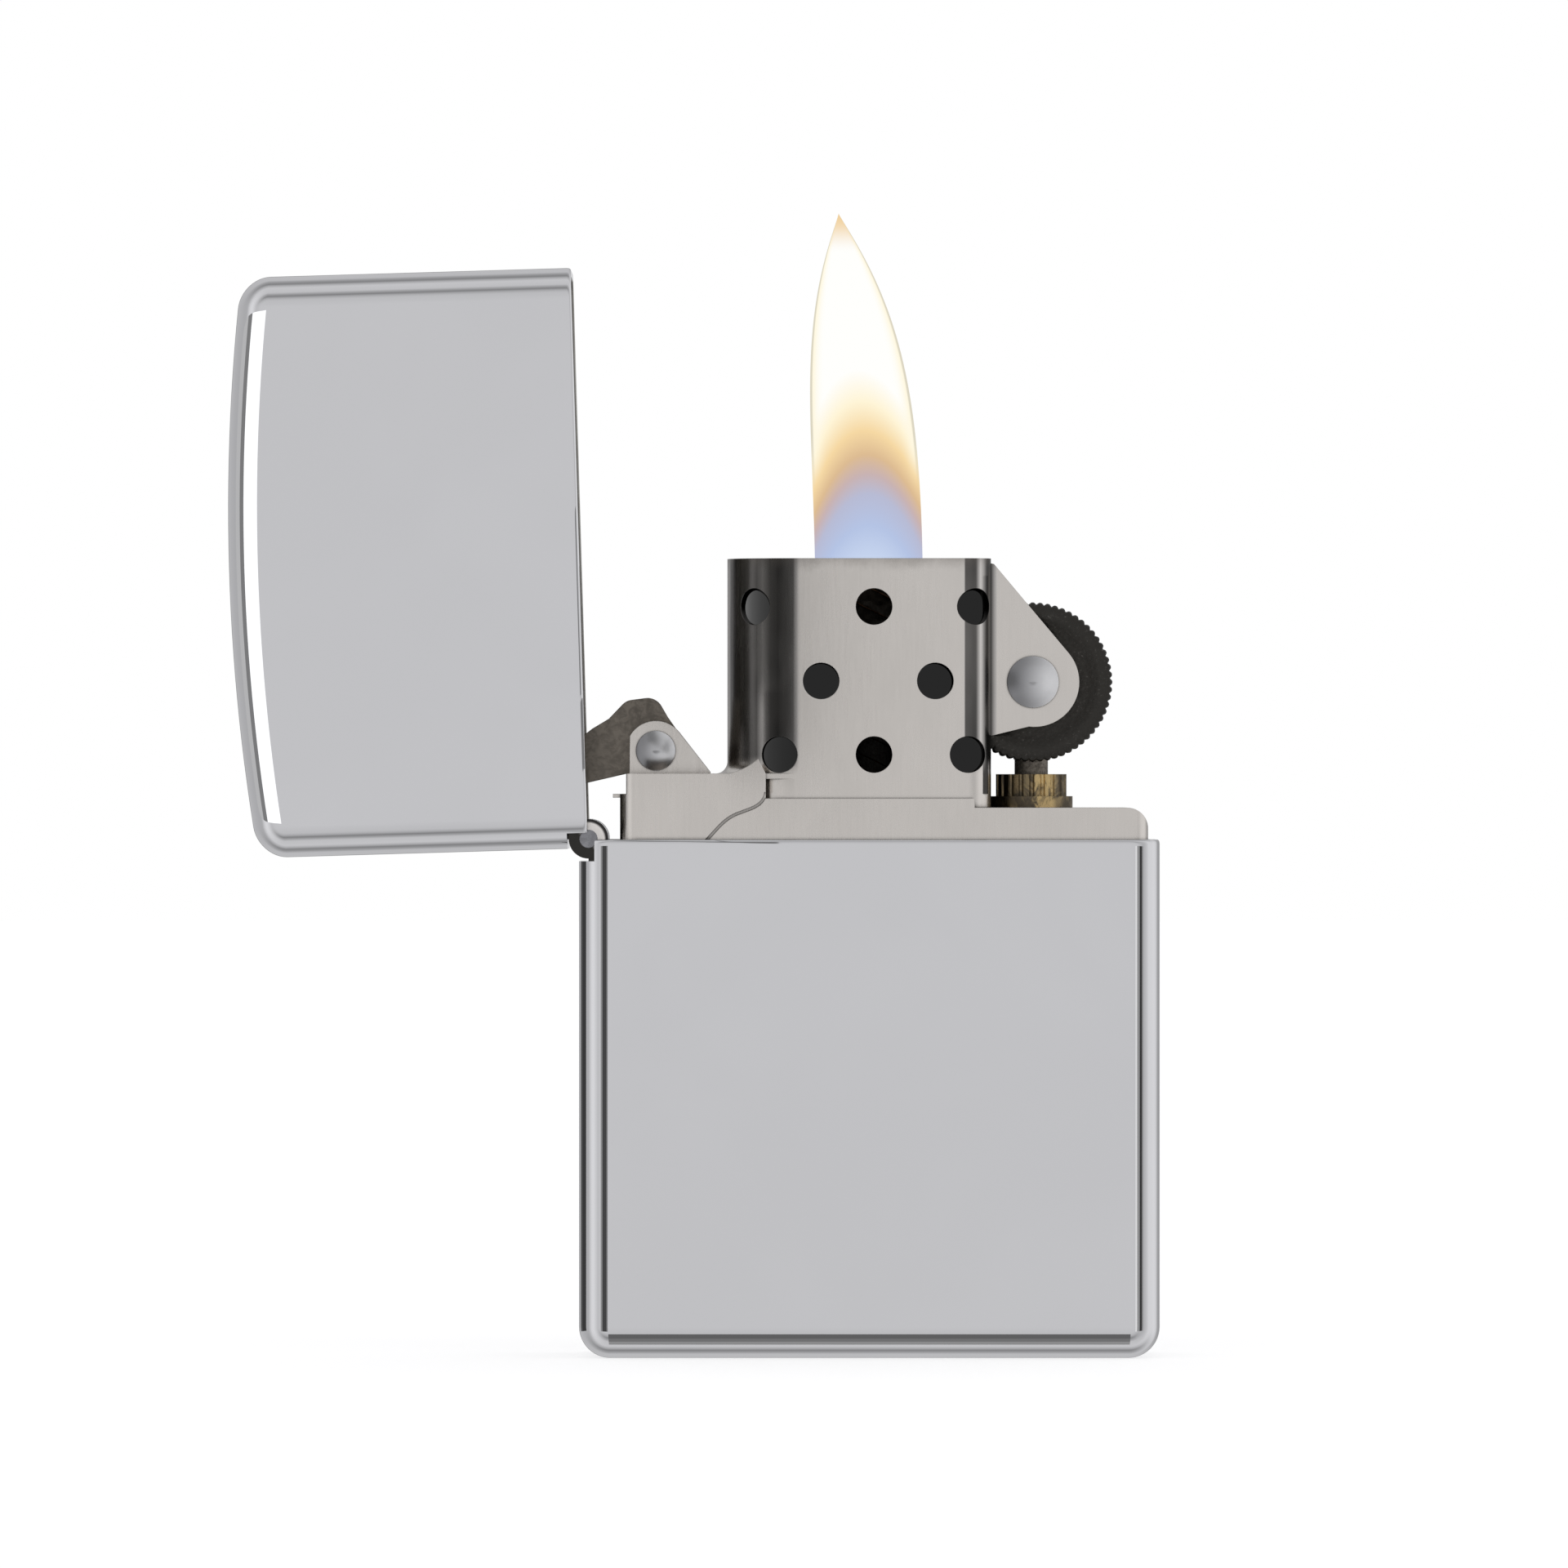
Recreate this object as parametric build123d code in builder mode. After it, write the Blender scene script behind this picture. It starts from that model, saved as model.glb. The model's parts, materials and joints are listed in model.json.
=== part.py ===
"""Flip-top wick lighter: hinged shell, lift-out fuel insert, spark wheel, flint feed and lid cam.

Frame: millimetres, +Z up, origin at the centre of the bottom case's base.
+X runs from the hinge towards the spark wheel, the front face looks along -Y.
The lid is drawn open; every lid piece is built on planes that turn with it about the hinge pin.
"""
from build123d import *
import math
import os

# ---------------------------------------------------------------- driving dimensions
# outer shell
WIDTH = 38.1
DEPTH = 12.7
CLOSED_HEIGHT = 57.1
SHELL_WALL = 0.62
CASE_RIM_Z = 34.0
PARTING_GAP = 0.1
CORNER_R = 1.75
EDGE_R = 1.65
DOME_R = 133.0
LID_CORNER_R = 2.0
BASE_PANEL_INSET = 2.3
BASE_PANEL_DEPTH = 0.3

# hinge
OPEN_ANGLE = 91.7
KNUCKLE_R = 1.3
KNUCKLES = 5
KNUCKLE_GAP = 0.1
PIN_R = 0.6
PIN_CLEARANCE = 0.03
LEAF_WIDTH = 9.2
LEAF_THICK = 0.45
LEAF_LENGTH = 12.0
NOTCH_X = 0.36
NOTCH_HEIGHT = 1.42
NOTCH_REACH = 4.0

# fuel tank of the insert
TANK_LEFT = -16.36
TANK_RIGHT = 18.3
TANK_HALF_DEPTH = 5.62
TANK_BOTTOM_Z = 1.3
TANK_EDGE_R = 1.2
TANK_SHOULDER_R = 1.4
SHEET = 0.5
SHOULDER_Z = 36.1
LIP_Z = 36.7
RAIL_TOP_Z = 38.34
STEP_DEPTH = 0.1
GROOVE_WIDTH = 0.2
GROOVE_DEPTH = 0.2

# chimney
CHIMNEY_LEFT = -9.33
CHIMNEY_RIGHT = 8.0
CHIMNEY_TOP_Z = 52.46
CHIMNEY_HALF_DEPTH = 5.32
CHIMNEY_SHEET = 0.45
NOSE_R = 4.4
CHEEK_R = 1.8
FLARE_R = 0.8
HOLE_R = 1.2

# spark wheel and its ears
WHEEL_X = 10.75
WHEEL_Z = 44.35
WHEEL_R = 5.25
BAND_R = 5.0
WHEEL_HALF_WIDTH = 2.8
BAND_HALF_WIDTH = 1.5
KNURLS = 48
KNURL_DEPTH = 0.22
KNURL_LAND = 0.32
EAR_INNER = 3.05
EAR_SHEET = 0.45
EAR_R = 2.95
AXLE_R = 0.8
AXLE_CLEARANCE = 0.03

# cam
CAM_X = -14.03
CAM_Z = 39.84
CAM_HALF_WIDTH = 2.3
CAM_FLAT = 2.0
CAM_TURN = 84.0
CAM_EAR_INNER = 2.45
CAM_EAR_R = 1.96
CAM_PIN_R = 0.75
CAM_PIN_CLEARANCE = 0.03
SPRING_LEAF_WIDTH = 3.4
SPRING_LEAF_THICK = 0.25

# flint feed
TUBE_X = 10.7
TUBE_R = 1.45
TUBE_BORE_R = 1.2
TUBE_BOTTOM_Z = 3.3
FLANGE_R = 2.73
FLANGE_TOP_Z = 36.85
COLLAR_R = 2.33
COLLAR_TOP_Z = 38.3
FLUTES = 20
FLUTE_R = 0.16
FLINT_R = 1.1
FLINT_LENGTH = 4.0
FLINT_GAP = 0.04
TIP_LENGTH = 2.2
TIP_CHAMFER = 0.3
SCREW_HEAD_R = 2.3
SCREW_HEAD_BOTTOM_Z = 1.7
SCREW_HEAD_TOP_Z = 3.2
SCREW_SHANK_R = 1.12
SCREW_SHANK_TOP_Z = 9.0
SCREW_SLOT = 0.6
SCREW_CHAMFER = 0.25
COIL_R = 0.88
COIL_WIRE_R = 0.14
COIL_TURNS = 18
COIL_GAP = 0.05

# wick, packing and felt
WICK_X = 0.3
WICK_R = 1.5
WICK_TOP_Z = 50.6
FELT_BOTTOM_Z = 2.0
FELT_TOP_Z = 4.8

# ---------------------------------------------------------------- derived places
SIDE_X = WIDTH / 2
HALF_DEPTH = DEPTH / 2
HINGE_X = -SIDE_X + SHELL_WALL
HINGE_Z = CASE_RIM_Z + PARTING_GAP / 2
LID_RIM = PARTING_GAP / 2
LID_TOP = CLOSED_HEIGHT - HINGE_Z
LID_CENTRE = -HINGE_X
FLINT_TOP_Z = WHEEL_Z - BAND_R - FLINT_GAP
FLINT_BOTTOM_Z = FLINT_TOP_Z - FLINT_LENGTH
TIP_BOTTOM_Z = FLINT_BOTTOM_Z - TIP_LENGTH
TANK_CENTRE = (TANK_LEFT + TANK_RIGHT) / 2
TANK_WIDTH = TANK_RIGHT - TANK_LEFT
TOP_PLATE_Z = SHOULDER_Z - SHEET

open_sin = math.sin(math.radians(OPEN_ANGLE))
open_cos = math.cos(math.radians(OPEN_ANGLE))

# Lid planes. LID_PLAN looks down on the closed lid and LID_FRONT looks at its front; both have
# their origin on the hinge pin, X along the lid's width and its height measured from the pin.
LID_PLAN = Plane((HINGE_X, 0, HINGE_Z), x_dir=(open_cos, 0, open_sin), z_dir=(-open_sin, 0, open_cos))
LID_FRONT = Plane((HINGE_X, 0, HINGE_Z), x_dir=(open_cos, 0, open_sin), z_dir=(0, -1, 0))
HINGE_FRONT = Plane((HINGE_X, 0, HINGE_Z), x_dir=(1, 0, 0), z_dir=(0, -1, 0))

# how far an edge may lie from a plane and still be taken as lying in it
NEAR = 1e-3

os.makedirs("parts", exist_ok=True)


def save(piece, label):
    """Name a finished piece and write it as its own file."""
    piece.part.label = label
    export_step(piece.part, f"parts/{label}.step")


def front_edges(part, half_depth):
    """Edges of the front and back outlines of a block that is half_depth deep each way."""
    faces = part.faces().filter_by(Axis.Y)
    outline = ShapeList()
    for face in faces:
        if abs(abs(face.center().Y) - half_depth) < NEAR:
            outline.extend(face.edges())
    return outline


# ---------------------------------------------------------------- outer shell
def case_block(inset):
    """The bottom case's outline moved inwards by inset, as a block with rounded edges."""
    half_width = SIDE_X - inset
    half_depth = HALF_DEPTH - inset
    with BuildPart() as block:
        with BuildSketch(Plane.XZ) as outline:
            with BuildLine():
                Polyline(
                    (-half_width, CASE_RIM_Z),
                    (-half_width, inset),
                    (half_width, inset),
                    (half_width, CASE_RIM_Z),
                    close=True,
                )
            make_face()
            fillet(outline.vertices().group_by(Axis.Y)[0], CORNER_R - inset)
        extrude(amount=half_depth, both=True)
        rounded = front_edges(block.part, half_depth)
        rim = rounded.filter_by(lambda e: e.center().Z > CASE_RIM_Z - NEAR)
        fillet([e for e in rounded if e not in rim], EDGE_R - inset)
    return block.part


with BuildPart() as bottom_case:
    add(case_block(0))
    add(case_block(SHELL_WALL), mode=Mode.SUBTRACT)
    # shallow panel pressed up into the base, leaving a ring to stand on
    with BuildSketch(Plane.XY):
        RectangleRounded(WIDTH - 2 * BASE_PANEL_INSET, DEPTH - 2 * BASE_PANEL_INSET, EDGE_R)
    extrude(amount=BASE_PANEL_DEPTH, mode=Mode.SUBTRACT)
    # the hinge side is cut down so that the knuckles and the opening lid have room
    with BuildSketch(HINGE_FRONT):
        with Locations((NOTCH_X, -NOTCH_HEIGHT - LID_RIM)):
            Rectangle(NOTCH_REACH, NOTCH_REACH, align=(Align.MAX, Align.MIN))
    extrude(amount=DEPTH, both=True, mode=Mode.SUBTRACT)
save(bottom_case, "bottom_case")


def lid_block(inset):
    """The lid's outline moved inwards by inset, as a block with a domed top and rounded edges."""
    left = LID_CENTRE - SIDE_X + inset
    right = LID_CENTRE + SIDE_X - inset
    half_depth = HALF_DEPTH - inset
    dome_r = DOME_R - inset
    top = LID_TOP - inset
    shoulder = top - dome_r + math.sqrt(dome_r**2 - (SIDE_X - inset) ** 2)
    with BuildPart() as block:
        with BuildSketch(LID_FRONT) as outline:
            with BuildLine():
                Polyline((left, shoulder), (left, LID_RIM), (right, LID_RIM), (right, shoulder))
                ThreePointArc((right, shoulder), (LID_CENTRE, top), (left, shoulder))
            make_face()
            fillet(outline.vertices().sort_by(Axis.Y)[-2:], LID_CORNER_R - inset)
        extrude(amount=half_depth, both=True)
        rim_plane = LID_PLAN.offset(LID_RIM)
        rounded = front_edges(block.part, half_depth)
        fillet([e for e in rounded if rim_plane.to_local_coords(e.center()).Z > NEAR], EDGE_R - inset)
    return block.part


with BuildPart() as lid:
    add(lid_block(0))
    add(lid_block(SHELL_WALL), mode=Mode.SUBTRACT)
    with BuildSketch(LID_FRONT):
        with Locations((NOTCH_X, NOTCH_HEIGHT + LID_RIM)):
            Rectangle(NOTCH_REACH, NOTCH_REACH, align=(Align.MAX, Align.MAX))
    extrude(amount=DEPTH, both=True, mode=Mode.SUBTRACT)
save(lid, "lid")


# ---------------------------------------------------------------- hinge
KNUCKLE_LENGTH = (LEAF_WIDTH - (KNUCKLES - 1) * KNUCKLE_GAP) / KNUCKLES


def knuckle_centre(index):
    """Distance of a knuckle's middle from the lighter's centre plane, along Y."""
    return (index - (KNUCKLES - 1) / 2) * (KNUCKLE_LENGTH + KNUCKLE_GAP)


def hinge_leaf(front, direction, own, bore_r):
    """One leaf of the hinge: a plate inside the hinge-side wall with its own knuckles.

    front is the plane that looks along the pin, direction is +1 for a leaf that goes up from
    the pin and -1 for one that goes down, and own lists the knuckles it carries.
    """
    others = [i for i in range(KNUCKLES) if i not in own]
    with BuildPart() as leaf:
        with BuildSketch(front):
            with BuildLine():
                Polyline(
                    (0, 0),
                    (LEAF_THICK, 0),
                    (LEAF_THICK, direction * LEAF_LENGTH),
                    (0, direction * LEAF_LENGTH),
                    close=True,
                )
            make_face()
        extrude(amount=LEAF_WIDTH / 2, both=True)
        # room for the other leaf's knuckles to turn
        for index in others:
            with BuildSketch(front.offset(-knuckle_centre(index))):
                Circle(KNUCKLE_R + KNUCKLE_GAP)
            extrude(amount=KNUCKLE_LENGTH / 2 + KNUCKLE_GAP, both=True, mode=Mode.SUBTRACT)
        for index in own:
            with BuildSketch(front.offset(-knuckle_centre(index))):
                Circle(KNUCKLE_R)
            extrude(amount=KNUCKLE_LENGTH / 2, both=True)
        with BuildSketch(front):
            Circle(bore_r)
        extrude(amount=DEPTH, both=True, mode=Mode.SUBTRACT)
    return leaf


case_hinge_leaf = hinge_leaf(HINGE_FRONT, -1, [0, 2, 4], PIN_R)
save(case_hinge_leaf, "case_hinge_leaf")

lid_hinge_leaf = hinge_leaf(LID_FRONT, 1, [1, 3], PIN_R + PIN_CLEARANCE)
save(lid_hinge_leaf, "lid_hinge_leaf")

with BuildPart() as hinge_pin:
    with BuildSketch(HINGE_FRONT):
        Circle(PIN_R)
    extrude(amount=LEAF_WIDTH / 2, both=True)
save(hinge_pin, "hinge_pin")


# ---------------------------------------------------------------- fuel tank
RAIL_RIGHT = -6.8
SPUR_TOP = (-7.3, 39.3)
SPUR_R = 1.9
SPUR_MID = (0.4, 0.23)
LIP_RIGHT = 6.9
END_WALL_Z = 37.0
END_LIP = 0.5
RIVET_X = -11.75
SPRING_RIVET_R = 0.6
# the groove's line in the front view, from under the case's rim up to the chimney
SWEEP = ((-12.2, CASE_RIM_Z - 1.0), (-8.9, 35.6), (RAIL_RIGHT, 37.1))
SWEEP_ENDS = ((1, 0.25), (0.15, 1))


def tank_side_outline():
    """Front outline of the tank: shoulder, lip under the chimney and the raised cam rails."""
    rail = Polyline(
        (SPUR_TOP[0] - SPUR_R, RAIL_TOP_Z),
        (TANK_LEFT, RAIL_TOP_Z),
        (TANK_LEFT, TANK_BOTTOM_Z),
        (TANK_RIGHT, TANK_BOTTOM_Z),
        (TANK_RIGHT, SHOULDER_Z),
        (LIP_RIGHT, SHOULDER_Z),
        (LIP_RIGHT, LIP_Z),
        (RAIL_RIGHT, LIP_Z),
        (RAIL_RIGHT, RAIL_TOP_Z),
        SPUR_TOP,
    )
    spur_middle = (SPUR_TOP[0] - SPUR_MID[0] * SPUR_R, RAIL_TOP_Z + SPUR_MID[1] * SPUR_R)
    ThreePointArc(rail @ 1, spur_middle, rail @ 0)


with BuildPart() as fuel_tank:
    # sheet-metal box, rounded on its upright edges
    with BuildSketch(Plane.XY.offset(TANK_BOTTOM_Z)):
        with Locations((TANK_CENTRE, 0)):
            RectangleRounded(TANK_WIDTH, 2 * TANK_HALF_DEPTH, TANK_EDGE_R)
    extrude(amount=CHIMNEY_TOP_Z - TANK_BOTTOM_Z)
    with BuildSketch(Plane.XZ) as side:
        with BuildLine():
            tank_side_outline()
        make_face()
        shoulder_corner = side.vertices().group_by(Axis.X)[-1].sort_by(Axis.Y)[-1]
        fillet(shoulder_corner, TANK_SHOULDER_R)
    extrude(amount=DEPTH, both=True, mode=Mode.INTERSECT)
    # inside of the tank, open at the bottom
    with BuildSketch(Plane.XY.offset(TANK_BOTTOM_Z)):
        with Locations((TANK_CENTRE, 0)):
            RectangleRounded(TANK_WIDTH - 2 * SHEET, 2 * (TANK_HALF_DEPTH - SHEET), TANK_EDGE_R - SHEET)
    extrude(amount=TOP_PLATE_Z - TANK_BOTTOM_Z, mode=Mode.SUBTRACT)
    # channel between the two rails, for the chimney's foot and the cam
    with BuildSketch(Plane.XY.offset(SHOULDER_Z)):
        with Locations((TANK_LEFT + SHEET, 0)):
            Rectangle(
                LIP_RIGHT - TANK_LEFT,
                2 * CHIMNEY_HALF_DEPTH,
                align=(Align.MIN, Align.CENTER),
            )
    extrude(amount=CASE_RIM_Z, mode=Mode.SUBTRACT)
    # the end wall stays low under the cam's lever and turns out in a small lip
    with BuildSketch(Plane.XY.offset(END_WALL_Z)):
        with Locations((TANK_LEFT, 0)):
            Rectangle(2 * SHEET, 2 * CHIMNEY_HALF_DEPTH)
    extrude(amount=CASE_RIM_Z, mode=Mode.SUBTRACT)
    with BuildSketch(Plane.XY.offset(END_WALL_Z)):
        with Locations((TANK_LEFT, 0)):
            Rectangle(END_LIP, SPRING_LEAF_WIDTH, align=(Align.MAX, Align.CENTER))
    extrude(amount=-SPRING_LEAF_THICK)
    # the sheet steps back slightly to the right of a groove that sweeps up to the chimney
    with BuildSketch(Plane.XZ.offset(TANK_HALF_DEPTH - STEP_DEPTH)):
        with BuildLine():
            sweep_up = Spline(*SWEEP, tangents=SWEEP_ENDS)
            Polyline(
                sweep_up @ 1,
                (RAIL_RIGHT, RAIL_TOP_Z + 1),
                (TANK_RIGHT + 1, RAIL_TOP_Z + 1),
                (TANK_RIGHT + 1, SWEEP[0][1]),
                sweep_up @ 0,
            )
        make_face()
    step_cut = extrude(amount=1, mode=Mode.SUBTRACT)
    mirror(step_cut, about=Plane.XZ, mode=Mode.SUBTRACT)
    with BuildSketch(Plane.XZ.offset(TANK_HALF_DEPTH - GROOVE_DEPTH)):
        with BuildLine():
            Spline(*SWEEP, tangents=SWEEP_ENDS)
        trace(line_width=GROOVE_WIDTH)
    groove = extrude(amount=1, mode=Mode.SUBTRACT)
    mirror(groove, about=Plane.XZ, mode=Mode.SUBTRACT)
    # holes for the wick, the flint tube and the cam spring's rivet
    for hole_x, hole_r in ((WICK_X, WICK_R), (TUBE_X, TUBE_R), (RIVET_X, SPRING_RIVET_R)):
        with BuildSketch(Plane.XY.offset(SHOULDER_Z)):
            with Locations((hole_x, 0)):
                Circle(hole_r)
        extrude(amount=-2 * SHEET, mode=Mode.SUBTRACT)
save(fuel_tank, "fuel_tank")


# ---------------------------------------------------------------- chimney with the wheel's ears
FLAT_LEFT = CHIMNEY_LEFT + NOSE_R
FLAT_RIGHT = CHIMNEY_RIGHT - CHEEK_R
FOOT_LEFT = -10.35
FOOT_THICK = 0.35
NOSE_Y = CHIMNEY_HALF_DEPTH - NOSE_R
FLARE_TURN = 55
# the ear's slope starts this far right of and below the chimney's top corner
SLOPE_START = (0.2, 0.36)
EAR_TOP_DROP = 0.2
EAR_FOOT_Z = 40.7
EAR_SHIFT = 0.1
EAR_ARC = (-97, 137)
FLARE_ROOT = 0.2


def chimney_plan(inset):
    """Plan outline of the chimney moved inwards by inset: round nose on the left, small cheeks right."""
    left = CHIMNEY_LEFT + inset
    right = CHIMNEY_RIGHT - inset
    half_depth = CHIMNEY_HALF_DEPTH - inset
    nose = NOSE_R - inset
    cheek = CHEEK_R - inset
    with BuildSketch() as plan:
        with BuildLine():
            Polyline(
                (left, -half_depth),
                (right, -half_depth),
                (right, half_depth),
                (left, half_depth),
                close=True,
            )
        make_face()
        fillet(plan.vertices().group_by(Axis.X)[0], nose)
        fillet(plan.vertices().group_by(Axis.X)[-1], cheek)
    return plan.sketch


def ear_outline():
    """Side view of a wheel ear: a slope from the chimney's top, round the axle and back under the wheel."""
    root = CHIMNEY_RIGHT - CHIMNEY_SHEET
    top = (root, CHIMNEY_TOP_Z - EAR_TOP_DROP)
    slope_start = (CHIMNEY_RIGHT + SLOPE_START[0], CHIMNEY_TOP_Z - SLOPE_START[1])
    around = CenterArc((WHEEL_X + EAR_SHIFT, WHEEL_Z), EAR_R, *EAR_ARC)
    Polyline(around @ 1, slope_start, top, (root, EAR_FOOT_Z), around @ 0)


def flare_outline():
    """Section of the concave blend between the foot and the nose, measured from the nose's centre."""
    root = NOSE_R - FLARE_ROOT
    Polyline((NOSE_R, FLARE_R), (root, FLARE_R), (root, -FOOT_THICK))
    Polyline((root, -FOOT_THICK), (NOSE_R + FLARE_R, -FOOT_THICK), (NOSE_R + FLARE_R, 0))
    RadiusArc((NOSE_R + FLARE_R, 0), (NOSE_R, FLARE_R), FLARE_R)


# (x, height) of the air holes in the flat faces
FLAT_HOLES = ((0.3, 49.29), (-3.17, 44.41), (4.32, 44.41), (0.3, 39.58))
# (corner centre x, corner radius, turn from the face's normal, height) of the holes on the bends
BEND_HOLES = (
    (FLAT_LEFT, NOSE_R, -37, 49.29),
    (FLAT_LEFT, NOSE_R, -13, 39.58),
    (FLAT_RIGHT, CHEEK_R, 26, 49.29),
    (FLAT_RIGHT, CHEEK_R, 9, 39.58),
)

with BuildPart() as chimney:
    with BuildSketch(Plane.XY.offset(SHOULDER_Z)):
        add(chimney_plan(0))
    extrude(amount=CHIMNEY_TOP_Z - SHOULDER_Z)
    # foot that spreads to the left over the cam's end of the tank
    with BuildSketch(Plane.XY.offset(RAIL_TOP_Z)):
        with Locations((FOOT_LEFT, 0)):
            Rectangle(
                FLAT_LEFT - FOOT_LEFT,
                2 * CHIMNEY_HALF_DEPTH,
                align=(Align.MIN, Align.CENTER),
            )
    extrude(amount=-FOOT_THICK)
    # the foot blends up into the round nose
    with BuildSketch(Plane((FLAT_LEFT, 0, RAIL_TOP_Z), x_dir=(-1, 0, 0), z_dir=(0, 1, 0))):
        with BuildLine():
            flare_outline()
        make_face()
    extrude(amount=NOSE_Y, both=True)
    with BuildSketch(Plane((FLAT_LEFT, -NOSE_Y, RAIL_TOP_Z), x_dir=(-1, 0, 0), z_dir=(0, 1, 0))):
        with BuildLine():
            flare_outline()
        make_face()
    flare = revolve(axis=Axis((FLAT_LEFT, -NOSE_Y, 0), (0, 0, 1)), revolution_arc=FLARE_TURN)
    mirror(flare, about=Plane.XZ)
    with BuildSketch(Plane.XY.offset(SHOULDER_Z)):
        add(chimney_plan(CHIMNEY_SHEET))
    extrude(amount=CHIMNEY_TOP_Z, mode=Mode.SUBTRACT)
    # mouth towards the wheel
    with BuildSketch(Plane.XY.offset(SHOULDER_Z)):
        with Locations((CHIMNEY_RIGHT - CHEEK_R, 0)):
            Rectangle(2 * CHEEK_R, 2 * EAR_INNER, align=(Align.MIN, Align.CENTER))
    extrude(amount=CHIMNEY_TOP_Z, mode=Mode.SUBTRACT)
    # ears that carry the wheel
    with BuildSketch(Plane.XZ.offset(EAR_INNER)):
        with BuildLine():
            ear_outline()
        make_face()
    front_ear = extrude(amount=EAR_SHEET)
    mirror(front_ear, about=Plane.XZ)
    with BuildSketch(Plane.XZ):
        with Locations((WHEEL_X, WHEEL_Z)):
            Circle(AXLE_R)
    extrude(amount=HALF_DEPTH, both=True, mode=Mode.SUBTRACT)
    # air holes, punched square to the sheet on both sides
    for hole_x, hole_z in FLAT_HOLES:
        with BuildSketch(Plane.XZ):
            with Locations((hole_x, hole_z)):
                Circle(HOLE_R)
        extrude(amount=HALF_DEPTH, both=True, mode=Mode.SUBTRACT)
    for bend_x, bend_r, turn, hole_z in BEND_HOLES:
        lean = math.radians(turn)
        bend_y = CHIMNEY_HALF_DEPTH - bend_r
        for side_sign in (-1, 1):
            normal = (math.sin(lean), side_sign * math.cos(lean), 0)
            with BuildSketch(Plane((bend_x, side_sign * bend_y, hole_z), z_dir=normal)):
                Circle(HOLE_R)
            extrude(amount=NOSE_R + 1, mode=Mode.SUBTRACT)
save(chimney, "chimney")


# ---------------------------------------------------------------- rivets
def rivet(centre_x, centre_z, shank_r, head_r, head_height, under_head):
    """A rivet along Y with a low domed head on each side; under_head is where its heads begin."""
    outer = under_head + head_height
    edge = under_head + head_height / 3
    dome_height = outer - edge
    dome_r = (head_r**2 + dome_height**2) / (2 * dome_height)
    halfway = math.asin(head_r / dome_r) / 2
    mid_r = dome_r * math.sin(halfway)
    mid_y = outer - dome_r * (1 - math.cos(halfway))
    with BuildPart() as pin:
        with BuildSketch(Plane((centre_x, 0, centre_z), x_dir=(1, 0, 0), z_dir=(0, 0, 1))):
            with BuildLine():
                ThreePointArc((head_r, edge), (mid_r, mid_y), (0, outer))
                Line((0, outer), (0, -outer))
                ThreePointArc((0, -outer), (mid_r, -mid_y), (head_r, -edge))
                Polyline(
                    (head_r, -edge),
                    (head_r, -under_head),
                    (shank_r, -under_head),
                    (shank_r, under_head),
                    (head_r, under_head),
                    (head_r, edge),
                )
            make_face()
        revolve(axis=Axis((centre_x, 0, centre_z), (0, 1, 0)))
    return pin


WHEEL_RIVET_HEAD_R = 1.7
CAM_RIVET_HEAD_R = 1.3
RIVET_HEAD_HEIGHT = 0.45

wheel_rivet = rivet(
    WHEEL_X, WHEEL_Z, AXLE_R, WHEEL_RIVET_HEAD_R, RIVET_HEAD_HEIGHT, EAR_INNER + EAR_SHEET
)
save(wheel_rivet, "wheel_rivet")

cam_rivet = rivet(
    CAM_X, CAM_Z, CAM_PIN_R, CAM_RIVET_HEAD_R, RIVET_HEAD_HEIGHT, CAM_EAR_INNER + CHIMNEY_SHEET
)
save(cam_rivet, "cam_rivet")


# ---------------------------------------------------------------- spark wheel
def knurled_ring():
    """Outline of the coarse grip ring: a circle with evenly spaced V grooves."""
    corners = []
    for index in range(KNURLS):
        for step, radius in ((-KNURL_LAND, WHEEL_R), (KNURL_LAND, WHEEL_R), (0.5, WHEEL_R - KNURL_DEPTH)):
            turn = 2 * math.pi * (index + step) / KNURLS
            corners.append((WHEEL_X + radius * math.cos(turn), WHEEL_Z + radius * math.sin(turn)))
    Polyline(*corners, close=True)


with BuildPart() as flint_wheel:
    with BuildSketch(Plane.XZ):
        with Locations((WHEEL_X, WHEEL_Z)):
            Circle(BAND_R)
    extrude(amount=BAND_HALF_WIDTH, both=True)
    with BuildSketch(Plane.XZ.offset(BAND_HALF_WIDTH)):
        with BuildLine():
            knurled_ring()
        make_face()
    grip_ring = extrude(amount=WHEEL_HALF_WIDTH - BAND_HALF_WIDTH)
    mirror(grip_ring, about=Plane.XZ)
    with BuildSketch(Plane.XZ):
        with Locations((WHEEL_X, WHEEL_Z)):
            Circle(AXLE_R + AXLE_CLEARANCE)
    extrude(amount=DEPTH, both=True, mode=Mode.SUBTRACT)
save(flint_wheel, "flint_wheel")


# ---------------------------------------------------------------- cam, its bracket and spring
BRACKET_LEFT = -15.75
BRACKET_RIGHT = -10.45
BRACKET_BASE = 0.35
BRACKET_TOP_Z = SHOULDER_Z + BRACKET_BASE
CAM_BLEND_R = 0.5
CROWN_ARC = (38, 112)
BRACKET_SIDE = 0.1

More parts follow.
